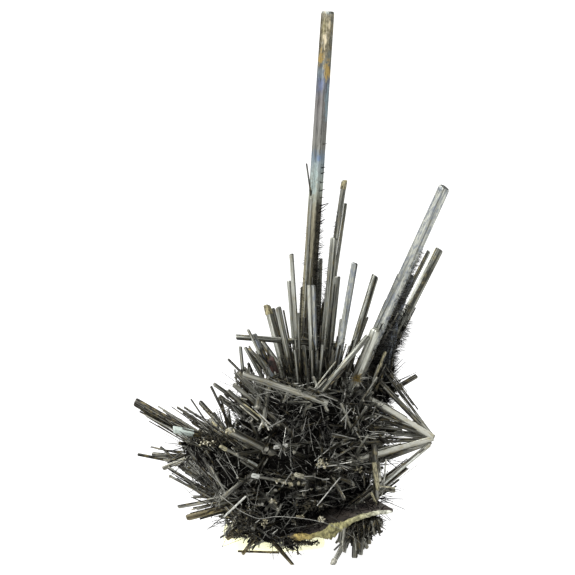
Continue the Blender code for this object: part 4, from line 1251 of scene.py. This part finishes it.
# %% Pale sleeves and pale crystals
PALE_AND_HIGHLIGHT_CRYSTALS = [
    # foot, tip, width, tone from the cream coat (0) over a painted white highlight (0.6) to a painted cyan one
    # (1)
    ((-17.4, 22.46, -5.12), (-21.35, 23.33, -6.03), 1.56, 1.0),
    ((12.62, 71.4, 7.8), (12.92, 73.1, 8.02), 1.2, 0.1),
    ((-2.16, 46.3, 4.05), (-2.64, 48.1, 4.53), 1.42, 0.12),
    ((10.9, -2.6, -19.1), (10.45, -3.7, -20.4), 1.2, 0.5),
    ((-6.2, 33.7, -9.6), (-7.3, 34.5, -9.8), 0.5, 0.7),
    ((-5.6, 33.9, -9.8), (-6.8, 34.0, -10.2), 0.4, 0.65),
    ((-10.7, 19.4, -13.0), (-11.9, 20.05, -13.65), 0.82, 0.3),
    ((-6.4, 17.06, -11.0), (-4.4, 15.98, -10.1), 0.7, 0.75),
    ((-6.8, 10.0, -12.6), (-11.2, 5.9, -14.1), 0.4, 0.62),
    ((12.0, 13.8, -12.4), (7.4, 8.2, -16.4), 0.2, 0.6),
    ((-4.3, 13.98, -15.1), (-5.6, 14.25, -15.8), 0.95, 0.7),
    ((1.4, 20.2, -14.0), (-1.2, 19.8, -15.4), 0.75, 0.6),
    ((4.6, 14.0, -14.2), (3.0, 14.45, -15.2), 0.9, 0.4),
    ((18.8, 16.8, -10.2), (19.6, 11.2, -9.8), 0.9, 0.3),
    ((19.7, 16.8, -9.6), (20.0, 13.0, -9.8), 0.55, 0.5),
    ((21.2, 17.4, -8.8), (20.7, 12.0, -8.6), 0.35, 0.55),
    ((18.2, 10.8, -10.4), (19.4, 8.2, -10.2), 0.5, 0.3),
    ((19.6, 11.4, -8.4), (27.9, 18.5, -7.4), 0.34, 0.72),
    ((18.9, 33.4, -3.6), (21.1, 38.9, -3.0), 0.6, 0.22),
    ((20.0, 12.0, -9.0), (23.0, 11.6, -9.0), 0.4, 0.35),
    ((-7.4, 28.6, -10.6), (-2.0, 24.4, -11.6), 0.3, 0.2),
    ((-8.0, 28.2, -10.6), (-4.4, 25.2, -11.4), 0.26, 0.45),
    ((-5.6, 28.0, -10.8), (-1.4, 23.8, -11.8), 0.24, 0.6),
    ((-3.6, 24.6, -12.2), (-4.2, 23.4, -13.2), 0.34, 0.55),
    ((-2.8, 24.4, -12.2), (-2.2, 23.2, -13.2), 0.3, 0.5),
    ((-13.6, 24.8, -10.2), (-12.6, 24.1, -11.4), 0.5, 0.1),
    ((-9.0, 5.2, -10.6), (-11.0, 1.7, -8.2), 0.4, 0.4),
    ((12.6, 3.6, -16.2), (12.5, -1.0, -16.6), 0.14, 0.5),
]
# Tones from about 0.6 up are painted white and cyan highlights; the low ones are the cream coat
coat_and_highlight_ones = Growth()
rng = random.Random(45)
for foot, tip, width, tone in PALE_AND_HIGHLIGHT_CRYSTALS:
    crystal(coat_and_highlight_ones, place(*foot), place(*tip), width, rng, sides=12, grooves=0.08, turn=0.2,
            thickness=1.0, grain=tone, end=0.86)
add_piece(coat_and_highlight_ones, "pale_and_highlight_crystals", coat_and_highlight_finish)

# %% [markdown]
# ## Fields of small blades
# In some places the front shows fields of small blades that run much the same way. Reading each of them
# would take hundreds of lines, so a field is one line: where it lies, how many blades it has and which way
# they point. They are laid on the front surface by the same ray that finds the carrier.

# %% Fields of small blades on the front
BLADE_FIELDS = [
    # across range, up range, how many, angle and spread in degrees, length, width, tone
    ((3.0, 11.0), (8.2, 14.0), 34, 0, 16, (1.2, 3.8), (0.16, 0.42), (0.9, 1.3)),
    ((-18.0, -10.5), (9.5, 20.0), 70, -52, 12, (3.0, 8.0), (0.08, 0.24), (-0.2, 1.2)),
    ((-11.0, -1.0), (24.0, 32.5), 60, -40, 16, (2.0, 5.0), (0.1, 0.32), (0.5, 1.2)),
    ((-3.0, 14.0), (15.0, 30.5), 60, 90, 90, (1.5, 5.0), (0.08, 0.3), (0.5, 1.2)),
    ((-10.0, 4.0), (2.0, 10.5), 50, 10, 50, (1.0, 3.4), (0.08, 0.3), (0.3, 1.2)),
    ((14.0, 21.0), (15.0, 32.5), 40, 90, 90, (1.2, 4.0), (0.08, 0.3), (0.5, 1.2)),
    ((-6.0, 13.0), (29.0, 33.5), 70, -15, 40, (1.2, 4.0), (0.1, 0.34), (0.4, 1.2)),
    ((16.0, 28.0), (19.5, 23.0), 40, 0, 8, (2.0, 6.0), (0.1, 0.26), (0.6, 1.2)),
    ((17.0, 24.0), (11.0, 17.5), 50, 48, 20, (1.5, 5.0), (0.08, 0.24), (0.5, 1.2)),
    ((-22.0, -14.0), (19.0, 27.0), 60, -32, 14, (2.0, 5.0), (0.08, 0.24), (-0.2, 1.1)),
]


def blade_field(growth, field, rng):
    """Small blades that lie on the front surface, at an angle to the horizontal."""
    across, up, count, angle, spread, length, width, tone = field
    for _ in range(count):
        x, y = rng.uniform(*across), rng.uniform(*up)
        spot = on_front(x, y)
        if spot is None:
            continue
        turn = math.radians(angle + rng.uniform(-spread, spread))
        reach = 0.5 * rng.uniform(*length)
        depth = spot.y / MM - rng.uniform(0.1, 0.5)
        tilt = rng.uniform(-0.4, 0.4) * reach
        foot = place(x - math.cos(turn) * reach, y - math.sin(turn) * reach, depth - tilt)
        tip = place(x + math.cos(turn) * reach, y + math.sin(turn) * reach, depth + tilt)
        if in_box(foot) and in_box(tip) and not covers(foot, tip):
            needle(growth, foot, tip, rng.uniform(*width), rng, grain=rng.uniform(*tone), point=0.75)


fields = Growth()
rng = random.Random(46)
for field in BLADE_FIELDS:
    blade_field(fields, field, rng)
add_piece(fields, "small_front_blades", needle_finish)

# %% [markdown]
# ## Stars of needles
# Here and there needles burst from one point, like a star. A star is a hub on the front surface with
# needles of nearly equal length, most of which point sideways or to the viewer. One of them has an ochre
# tuft inside.

# %% Stars
STARS = [
    # (across, up), reach in mm, how many, width, tone
    ((3.8, 24.4), 3.6, 30, (0.08, 0.16), (0.7, 1.2)),
    ((13.8, 30.6), 4.6, 60, (0.07, 0.14), (0.3, 1.0)),
    ((15.4, 33.6), 3.0, 80, (0.07, 0.14), (0.4, 1.1)),
    ((-3.4, 24.2), 1.8, 18, (0.1, 0.24), (0.8, 1.3)),
    ((-12.6, 24.4), 2.0, 24, (0.1, 0.2), (0.6, 1.1)),
    ((11.6, 16.4), 2.8, 30, (0.08, 0.16), (0.5, 1.2)),
    ((-12.4, 10.8), 2.6, 40, (0.08, 0.16), (0.8, 1.3)),
    ((20.0, 11.6), 2.0, 34, (0.08, 0.2), (0.7, 1.3)),
    ((5.4, 27.4), 2.4, 20, (0.08, 0.14), (0.5, 1.1)),
    ((9.6, 21.0), 3.4, 26, (0.08, 0.16), (0.5, 1.2)),
    ((0.4, 20.0), 2.6, 20, (0.08, 0.16), (0.4, 1.0)),
    ((22.6, 31.6), 3.0, 50, (0.06, 0.12), (0.1, 0.5)),
]
stars = Growth()
rng = random.Random(47)
for (across, up), reach, count, width, tone in STARS:
    hub = on_front(across, up)
    if hub is None:
        print("no surface at", across, up)
        continue
    for _ in range(count):
        way = Vector((rng.gauss(0, 1), rng.gauss(-0.5, 0.6), rng.gauss(0, 1))).normalized()
        tip = hub + way * reach * rng.uniform(0.5, 1.1) * MM
        if in_box(tip) and not covers(hub, tip):
            needle(stars, hub, tip, rng.uniform(*width), rng, grain=rng.uniform(*tone), point=0.5)
add_piece(stars, "needle_stars", needle_finish)

OCHRE_NEEDLES = 110
ochre = Growth()
hub = on_front(*STARS[2][0])
for _ in range(OCHRE_NEEDLES):
    way = Vector((rng.gauss(0, 1), rng.gauss(-1.0, 0.7), rng.gauss(0, 1))).normalized()
    needle(ochre, hub, hub + way * rng.uniform(0.5, 1.5) * MM, rng.uniform(0.1, 0.2), rng, point=0.4)
add_piece(ochre, "ochre_tuft", ochre_finish)

# %% [markdown]
# ## Crumbs of cream and of dark mineral
# Little heaps of cream crumbs sit on the crystals, and dark ones lie low at the front and at the left. Each
# crumb is a small icosphere whose points a noise pushes in and out, and each heap is a scatter of them
# about a point. The cream heaps that are small sit on the front surface; the others have a centre that was
# read with its depth.

# %% Cream and dark crumbs
CREAM_SPOTS = [
    # (across, up), radius of the heap in mm, a third of its number of crumbs
    ((-4.4, 10.2), 0.9, 14), ((-1.4, 8.8), 0.7, 9), ((-6.6, 7.6), 0.6, 8), ((-5.0, 7.8), 0.4, 5),
    ((-4.0, 4.6), 0.6, 7), ((8.4, 16.6), 1.1, 16), ((15.4, 15.6), 0.9, 12), ((-14.8, 19.0), 0.7, 9),
    ((2.4, 13.8), 0.8, 10), ((-0.4, 13.2), 0.5, 6), ((0.8, 12.8), 0.5, 6), ((2.2, 12.4), 0.5, 7),
    ((3.6, 12.6), 0.5, 6), ((5.0, 12.6), 0.5, 6), ((-3.0, 9.4), 0.3, 4), ((3.8, 24.2), 0.4, 5),
    ((-3.4, 24.2), 0.4, 5), ((-2.4, 23.8), 0.4, 4), ((6.2, 11.4), 0.3, 4), ((3.0, 9.0), 0.4, 5),
]
DARK_CRUMBS = [
    # centre, how far they scatter each way in mm, number
    ((2.2, 0.5, -13.2), (1.5, 0.8, 1.2), 260), ((-5.6, 2.3, -11.4), (5.0, 0.8, 0.6), 320),
    ((5.4, 0.8, -13.4), (2.4, 0.6, 0.5), 180), ((-13.6, 21.1, -8.2), (4.2, 0.9, 1.2), 420),
    ((-7.0, 6.0, -12.4), (3.0, 0.8, 2.0), 160), ((6.4, 8.4, -13.6), (3.0, 0.8, 1.4), 120),
]
CREAM_CRUMBS = [
    ((-10.0, 23.1, -13.3), (0.9, 0.5, 0.6), 70), ((2.4, 0.2, -13.9), (1.2, 0.5, 1.0), 26),
    ((-14.6, 20.6, -9.6), (2.0, 0.6, 0.7), 30), ((8.3, 5.4, -14.2), (0.7, 0.4, 0.7), 26),
    ((4.0, 6.0, -14.0), (0.8, 0.4, 0.3), 24), ((-3.0, 4.6, -13.0), (0.6, 0.4, 0.9), 30),
]
CRUMB_SIZE = (0.06, 0.24)


def crumbs(bm, centre, reach, count, rng):
    """Irregular crumbs scattered about a centre in metres."""
    for _ in range(count):
        away = Vector([max(-1.0, min(1.0, rng.gauss(0, 0.5))) * r for r in reach]) * MM
        size = rng.uniform(*CRUMB_SIZE) * MM
        if in_box(centre + away, 0.0004):
            for vert in bmesh.ops.create_icosphere(bm, subdivisions=1, radius=size)["verts"]:
                vert.co *= 1 + 0.6 * noise.noise(vert.co * 6000 + away * 9000)
                vert.co += centre + away


bm = bmesh.new()
rng = random.Random(61)
for (across, up), radius, count in CREAM_SPOTS:
    spot = on_front(across, up)
    if spot is not None:
        crumbs(bm, spot, (radius, 0.6 * radius, 0.9 * radius), 3 * count, rng)
for centre, reach, count in CREAM_CRUMBS:
    crumbs(bm, place(*centre), reach, count, rng)
mesh_piece(bm, "cream_balls", cream_finish, "crystal_cluster", smooth=True)
bm = bmesh.new()
for centre, reach, count in DARK_CRUMBS:
    crumbs(bm, place(*centre), reach, count, rng)
mesh_piece(bm, "dark_crumbs", crumb_finish, "crystal_cluster", smooth=True)

# %% [markdown]
# ## The slab of rock
# The crystals grew on a thin slab, whose smooth dark face shows at the lower right. Its front edge is a
# line of readings with a thickness at each. The slab is lofted back from that edge as in the solids, only
# with far more rows, so that noise can make its face slightly uneven.

# %% The slab
SLAB_EDGE = [
    (2.0, 1.8, 0.9), (4.0, 1.9, 1.2), (6.0, 2.0, 0.9), (8.0, 2.4, 1.4), (10.0, 3.0, 2.4), (12.0, 3.9, 1.6),
    (14.0, 5.0, 1.0), (16.0, 5.9, 0.8), (18.0, 6.5, 0.7), (20.0, 6.8, 0.6), (22.6, 7.0, 0.4),
]
SLAB_FRONT = -14.0
SLAB_RISE = math.radians(10)
SLAB_REACH = [10.0, 14.0, 16.5, 18.0, 19.0, 18.5, 17.0, 14.6, 11.0, 5.6, 0.9]
SLAB_STEPS = 8
SLAB_ROWS = 40


def along_edge(values, share):
    """Reads a list of numbers, one for each edge point, at a share of the edge's length."""
    spot = share * (len(values) - 1)
    i = min(int(spot), len(values) - 2)
    t = spot - i
    t = t * t * (3 - 2 * t)
    return values[i] * (1 - t) + values[i + 1] * t


def slab_point(share, back, level):
    """A point of the slab: share along the edge, back from 0 to 1, level -1 under it to 1 on top."""
    across, up, thick = (along_edge([row[k] for row in SLAB_EDGE], share) for k in range(3))
    reach = along_edge(SLAB_REACH, share) * back
    near_rim = min(1.0, 12 * min(share, 1 - share, back, 1 - back))
    point = place(across, up, SLAB_FRONT) / MM
    point += Vector((0, math.cos(SLAB_RISE), math.sin(SLAB_RISE))) * reach
    rough = 0.12 * noise.noise(point * 0.9) + 0.05 * noise.noise(point * 3.5)
    lift = level * 0.5 * thick * (0.6 + 0.4 * near_rim) + rough * near_rim
    point += Vector((0, -math.sin(SLAB_RISE), math.cos(SLAB_RISE))) * lift
    return point * MM


def lofted(columns, rows, point_at):
    """A closed sheet: a top and a bottom grid, joined round the rim."""
    bm = bmesh.new()
    grids = {}
    for level in (-1, 1):
        for c in range(columns + 1):
            for r in range(rows + 1):
                grids[level, c, r] = bm.verts.new(point_at(c / columns, r / rows, level))
        for c in range(columns):
            for r in range(rows):
                bm.faces.new([grids[level, a, b] for a, b in ((c, r), (c + 1, r), (c + 1, r + 1), (c, r + 1))])
    rim = [(c, 0) for c in range(columns)] + [(columns, r) for r in range(rows)]
    rim += [(c, rows) for c in range(columns, 0, -1)] + [(0, r) for r in range(rows, 0, -1)]
    for a, b in zip(rim, rim[1:] + rim[:1]):
        bm.faces.new([grids[-1, *a], grids[-1, *b], grids[1, *b], grids[1, *a]])
    return bm


slab = lofted(SLAB_STEPS * (len(SLAB_EDGE) - 1), SLAB_ROWS, slab_point)
mesh_piece(slab, "rock_slab", rock_finish, "matrix_slab", smooth=True)

# %% [markdown]
# ## The crust along the slab's edge
# Along the front edge runs a rough crust: ochre at the left, yellow and thick in the middle, pale and thin
# to the right. It is a swept bead whose radius is pushed about by noise at three scales. Its colour follows
# the place along the edge, which the bead's own UV map carries in place of the distance from a tip.

# %% The crust
CRUST_COLOURS = [
    (0.0, (0.16, 0.12, 0.05)), (0.08, (0.42, 0.32, 0.10)), (0.18, (0.38, 0.30, 0.10)),
    (0.27, (0.24, 0.22, 0.09)), (0.4, (0.27, 0.25, 0.11)), (0.55, (0.34, 0.32, 0.15)),
    (0.75, (0.44, 0.43, 0.26)), (1.0, (0.58, 0.59, 0.52)),
]
CRUST_THICK = [0.7, 1.3, 0.7, 1.1, 2.9, 1.7, 0.9, 0.8, 0.65, 0.5, 0.7]
CRUST_STATIONS = 260
CRUST_SIDES = 20
CRUST_LEAST = 0.12


def crust_finish():
    """Colours along the edge, with dark specks in them."""
    finish = Finish("slab_crust")
    spot = finish.node("ShaderNodeTexCoord").outputs["Object"]
    grit = finish.noise(spot, 6.0, 0.5, 1300.0)
    wander = finish.math("MULTIPLY", finish.math("SUBTRACT", grit, 0.5), 0.2)
    tone = finish.ramp(finish.math("ADD", finish.on_map()[1], wander), CRUST_COLOURS)
    colour = finish.mix(1.0, tone, finish.ramp(grit, [(0.35, 0.35), (0.6, 1.1)]), "MULTIPLY")
    finish.set(Base_Color=colour, Roughness=0.85, Normal=finish.bump(grit, 0.8))
    return finish.material


crust = Growth()
rings = []
alongs = []
for station in range(CRUST_STATIONS + 1):
    share = station / CRUST_STATIONS
    centre = (slab_point(share, 0, -1) + slab_point(share, 0, 1)) / 2
    thick = along_edge(CRUST_THICK, share)
    taper = min(1.0, 14 * share, 14 * (1 - share)) ** 0.5
    ring = []
    for k in range(CRUST_SIDES):
        angle = 2 * math.pi * k / CRUST_SIDES
        out = Vector((0, math.cos(angle), math.sin(angle)))
        spot = (centre / MM) + out
        bump = 1 + 0.5 * noise.noise(spot * 0.9) + 0.3 * noise.noise(spot * 2.6)
        bump += 0.16 * noise.noise(spot * 6.0)
        ring.append(centre + out * (0.5 * thick + CRUST_LEAST) * bump * taper * MM)
    rings.append(ring)
    alongs.append(share)
crust.sweep(rings, alongs, 0.5, 1.0)
add_piece(crust, "slab_crust", crust_finish(), "matrix_slab", smooth=True)

# %% [markdown]
# ## Growth on the slab's face
# The slab's face isn't bare: short dark needles grow on its front half. They stand on points of the slab's
# own formula, so they can't float, and those that would point down into it are left out.

# %% Dark growth on the slab's face
SLAB_NEEDLES = 340
slab_growth = Growth()
rng = random.Random(66)
for _ in range(SLAB_NEEDLES):
    share, back = rng.random() * 0.92, rng.uniform(0.04, 0.5)
    foot = slab_point(share, back, 0.6)
    way = Vector((rng.gauss(0, 1), rng.gauss(-0.2, 0.6), rng.gauss(0.35, 0.35))).normalized()
    tip = foot + way * rng.uniform(0.6, 2.6) * MM
    if in_box(tip) and tip.z > foot.z - 0.0002:
        needle(slab_growth, foot, tip, rng.uniform(0.08, 0.26), rng, grain=0.8 * rng.random() ** 5, point=0.6)
add_piece(slab_growth, "slab_growth", needle_finish, "matrix_slab")

# %% [markdown]
# ## The foot under the slab
# Short dark crystals hang under the slab's right half and reach the ground. The foot is built as the
# thicket is: two dark lumps, the crystals of its list, and needles on the lumps' skin. A fringe of small
# crystals hangs from under the slab, longest in the middle, and dark crumbs fill its front.

# %% The foot
FOOT_LUMPS = [((15.6, 3.6, -11.4), (3.3, 3.2, 2.2)), ((18.0, 4.8, -10.8), (2.4, 2.4, 1.6))]
FOOT_DOWN = Vector((-0.06, 0.0, -1.0))
FOOT_NEEDLES = 900
FRINGE = 130
FOOT_TONES = [0.4, 0.2, 0.45, 0.2, 0.5, 0.2, 0.3, 0.1, 0.2]
foot_crystals = Growth()
rng = random.Random(71)
grow_rows(foot_crystals, SLAB_FOOT, rng, FOOT_TONES, root=0.5)
scattered_needles(foot_crystals, FOOT_LUMPS, FOOT_NEEDLES, rng, (0.4, 1.6), (0.1, 0.34), scatter=0.6,
                  inward=0.8, lowest=0.0)
for _ in range(FRINGE):
    top = Vector((rng.uniform(12.0, 20.2), rng.uniform(-14.5, -8.5), 0.0))
    top.z = place(top.x, 4.6 + 0.25 * (top.x - 16.0), top.y).z / MM
    way = (FOOT_DOWN + jitter(rng, 0.26)).normalized()
    reach = rng.uniform(1.6, 6.4) * (1.0 - abs(top.x - 15.2) / 7.0)
    foot_tip = (top + way * reach) * MM
    crystal(foot_crystals, top * MM, foot_tip, rng.uniform(0.15, 0.6), rng, grooves=0.1,
            grain=0.8 * rng.random() ** 2)
add_piece(foot_crystals, "foot_crystals", grey_finish, "slab_foot")
# The foot's lumps take the heart's painted near-black shade as well
bm = bmesh.new()
for number, (centre, radii) in enumerate(FOOT_LUMPS):
    lump(bm, place(*centre), [0.85 * r for r in radii], 90.0 + number, 4)
mesh_piece(bm, "foot_heart", heart_shade_finish, "slab_foot")
bm = bmesh.new()
crumbs(bm, place(16.2, 3.6, -13.4), (4.2, 0.8, 1.6), 320, rng)
mesh_piece(bm, "foot_crumbs", crumb_finish, "slab_foot", smooth=True)

# %% [markdown]
# ## The pad of putty
# The specimen is pressed into a pad of pale putty. It is a low block with soft corners. Its outline comes
# from one formula (a superellipse), its edge is a quarter circle, and noise makes its sides a little
# uneven, as fingers do.

# %% The pad
PAD_CENTRE = (-1.3, 1.4)
PAD_HALF = (10.3, 8.4)
PAD_HEIGHT = 3.4
PAD_EDGE = 0.9
PAD_SIDES = 96
PAD_SOFTNESS = 0.5


def pad_ring(bm, height, inset):
    """One level of the pad's outline, drawn in by the inset."""
    ring = []
    for i in range(PAD_SIDES):
        angle = 2 * math.pi * i / PAD_SIDES
        c, s = math.cos(angle), math.sin(angle)
        x = math.copysign(abs(c) ** PAD_SOFTNESS, c) * (PAD_HALF[0] - inset)
        y = math.copysign(abs(s) ** PAD_SOFTNESS, s) * (PAD_HALF[1] - inset)
        dent = 1 - 0.03 * (0.5 + noise.noise(Vector((c * 1.7, s * 1.7, height * 0.4))))
        ring.append(bm.verts.new(Vector((PAD_CENTRE[0] + x * dent, PAD_CENTRE[1] + y * dent, height)) * MM))
    return ring


bm = bmesh.new()
levels = [(0.0, 0.35), (0.15, 0.12), (0.5, 0.0), (1.2, 0.0), (1.9, 0.0)]
for step in range(7):
    turn = math.pi / 2 * step / 6
    levels.append((PAD_HEIGHT - PAD_EDGE * (1 - math.sin(turn)), PAD_EDGE * (1 - math.cos(turn))))
for inset in (2.0, 4.0, 6.0):
    levels.append((PAD_HEIGHT, inset))
pad_rings = [pad_ring(bm, height, inset) for height, inset in levels]
for low, high in zip(pad_rings, pad_rings[1:]):
    for i in range(PAD_SIDES):
        j = (i + 1) % PAD_SIDES
        bm.faces.new((low[i], low[j], high[j], high[i]))
bm.faces.new(list(reversed(pad_rings[0])))
bm.faces.new(pad_rings[-1])
mesh_piece(bm, "pad_of_putty", putty_finish, "putty_pad", smooth=True)

# %% [markdown]
# ## The floor
# The portrait was taken on white, with almost no shadow. The floor is one plain square, pale and so bright
# of itself that a shadow on it hardly shows.

# %% Floor
bm = bmesh.new()
bmesh.ops.create_grid(bm, x_segments=1, y_segments=1, size=3.0)
floor_mesh = bpy.data.meshes.new("floor")
bm.to_mesh(floor_mesh)
bm.free()
floor_look = Finish("plain_floor")
floor_look.set(Base_Color=(0.2, 0.2, 0.2, 1), Roughness=0.9, Emission_Color=(1, 1, 1, 1),
               Emission_Strength=0.96)
floor_mesh.materials.append(floor_look.material)
floor = bpy.data.objects.new("floor", floor_mesh)
floor.location.z = -0.0002
bpy.context.scene.collection.objects.link(floor)
print("floor is", floor.dimensions.x, "m wide")

# %% [markdown]
# ## The world
# The world lights the specimen from all around. It is bright above and to the left and nearly black on the
# other side, because metal only shows its faces when they reflect different tones. What is seen straight
# past the specimen is plain white all the same: a Light Path node tells the two apart.

# %% World
STUDIO_TONES = ((0.0, 0.02), (0.42, 0.05), (0.6, 0.35), (0.78, 1.1), (1.0, 1.7))
BRIGHT_SIDE = Vector((-0.5, -0.3, 0.8)).normalized()
world = bpy.data.worlds.new("studio")
world.use_nodes = True
sky = Nodes(world.node_tree)
direction = sky.node("ShaderNodeTexCoord").outputs["Generated"]
towards_light = sky.node("ShaderNodeVectorMath", {0: direction, 1: BRIGHT_SIDE}, operation="DOT_PRODUCT")
tones = sky.ramp(sky.madd(towards_light.outputs["Value"], 0.5, 0.5), STUDIO_TONES)
seen_directly = sky.node("ShaderNodeLightPath").outputs["Is Camera Ray"]
sky.put(sky.tree.nodes["Background"].inputs["Color"], sky.mix(seen_directly, tones, (1, 1, 1, 1)))
bpy.context.scene.world = world
print("world:", world.name)

# %% [markdown]
# ## Two softboxes
# Two large soft lamps add what the world lacks: one from the upper left models the long crystals, and a
# wide one overhead lifts the top of the thicket. Area lamps give soft edges without any setting up.

# %% Lamps
def softbox(name, place_at, aim, size, power):
    """A square soft light that points at the aim."""
    lamp_data = bpy.data.lights.new(name, "AREA")
    lamp_data.size = size
    lamp_data.energy = power
    lamp = bpy.data.objects.new(name, lamp_data)
    lamp.location = place_at
    lamp.rotation_euler = (Vector(aim) - Vector(place_at)).to_track_quat("-Z", "Y").to_euler()
    bpy.context.scene.collection.objects.link(lamp)
    return lamp


softbox("upper_left", (-0.45, -0.25, 0.55), (0, 0, 0.04), 0.35, 3.2)
softbox("overhead", (0.05, 0.1, 0.9), (0, 0, 0), 0.6, 4.0)
print("two softboxes")

# %% [markdown]
# ## The camera
# The portrait looks down by ten degrees and shows almost no perspective. So the camera stands three metres
# away with a long lens, whose length follows from how wide the picture has to be at that distance.

# %% Camera
VIEW_CENTRE = (1.5, 51.7, 0.0)
FRAME_WIDTH = 0.115
CAMERA_DISTANCE = 3.0
camera_data = bpy.data.cameras.new("portrait_camera")
camera_data.sensor_width = 36.0
camera_data.lens = camera_data.sensor_width * CAMERA_DISTANCE / FRAME_WIDTH
camera = bpy.data.objects.new("portrait_camera", camera_data)
aim = place(*VIEW_CENTRE)
camera.location = aim + Vector((0, -math.cos(VIEW_TILT), math.sin(VIEW_TILT))) * CAMERA_DISTANCE
camera.rotation_euler = (math.pi / 2 - VIEW_TILT, 0, 0)
bpy.context.scene.collection.objects.link(camera)
bpy.context.scene.camera = camera
bpy.context.scene.view_settings.view_transform = "Standard"
print("camera at", [round(v, 3) for v in camera.location])
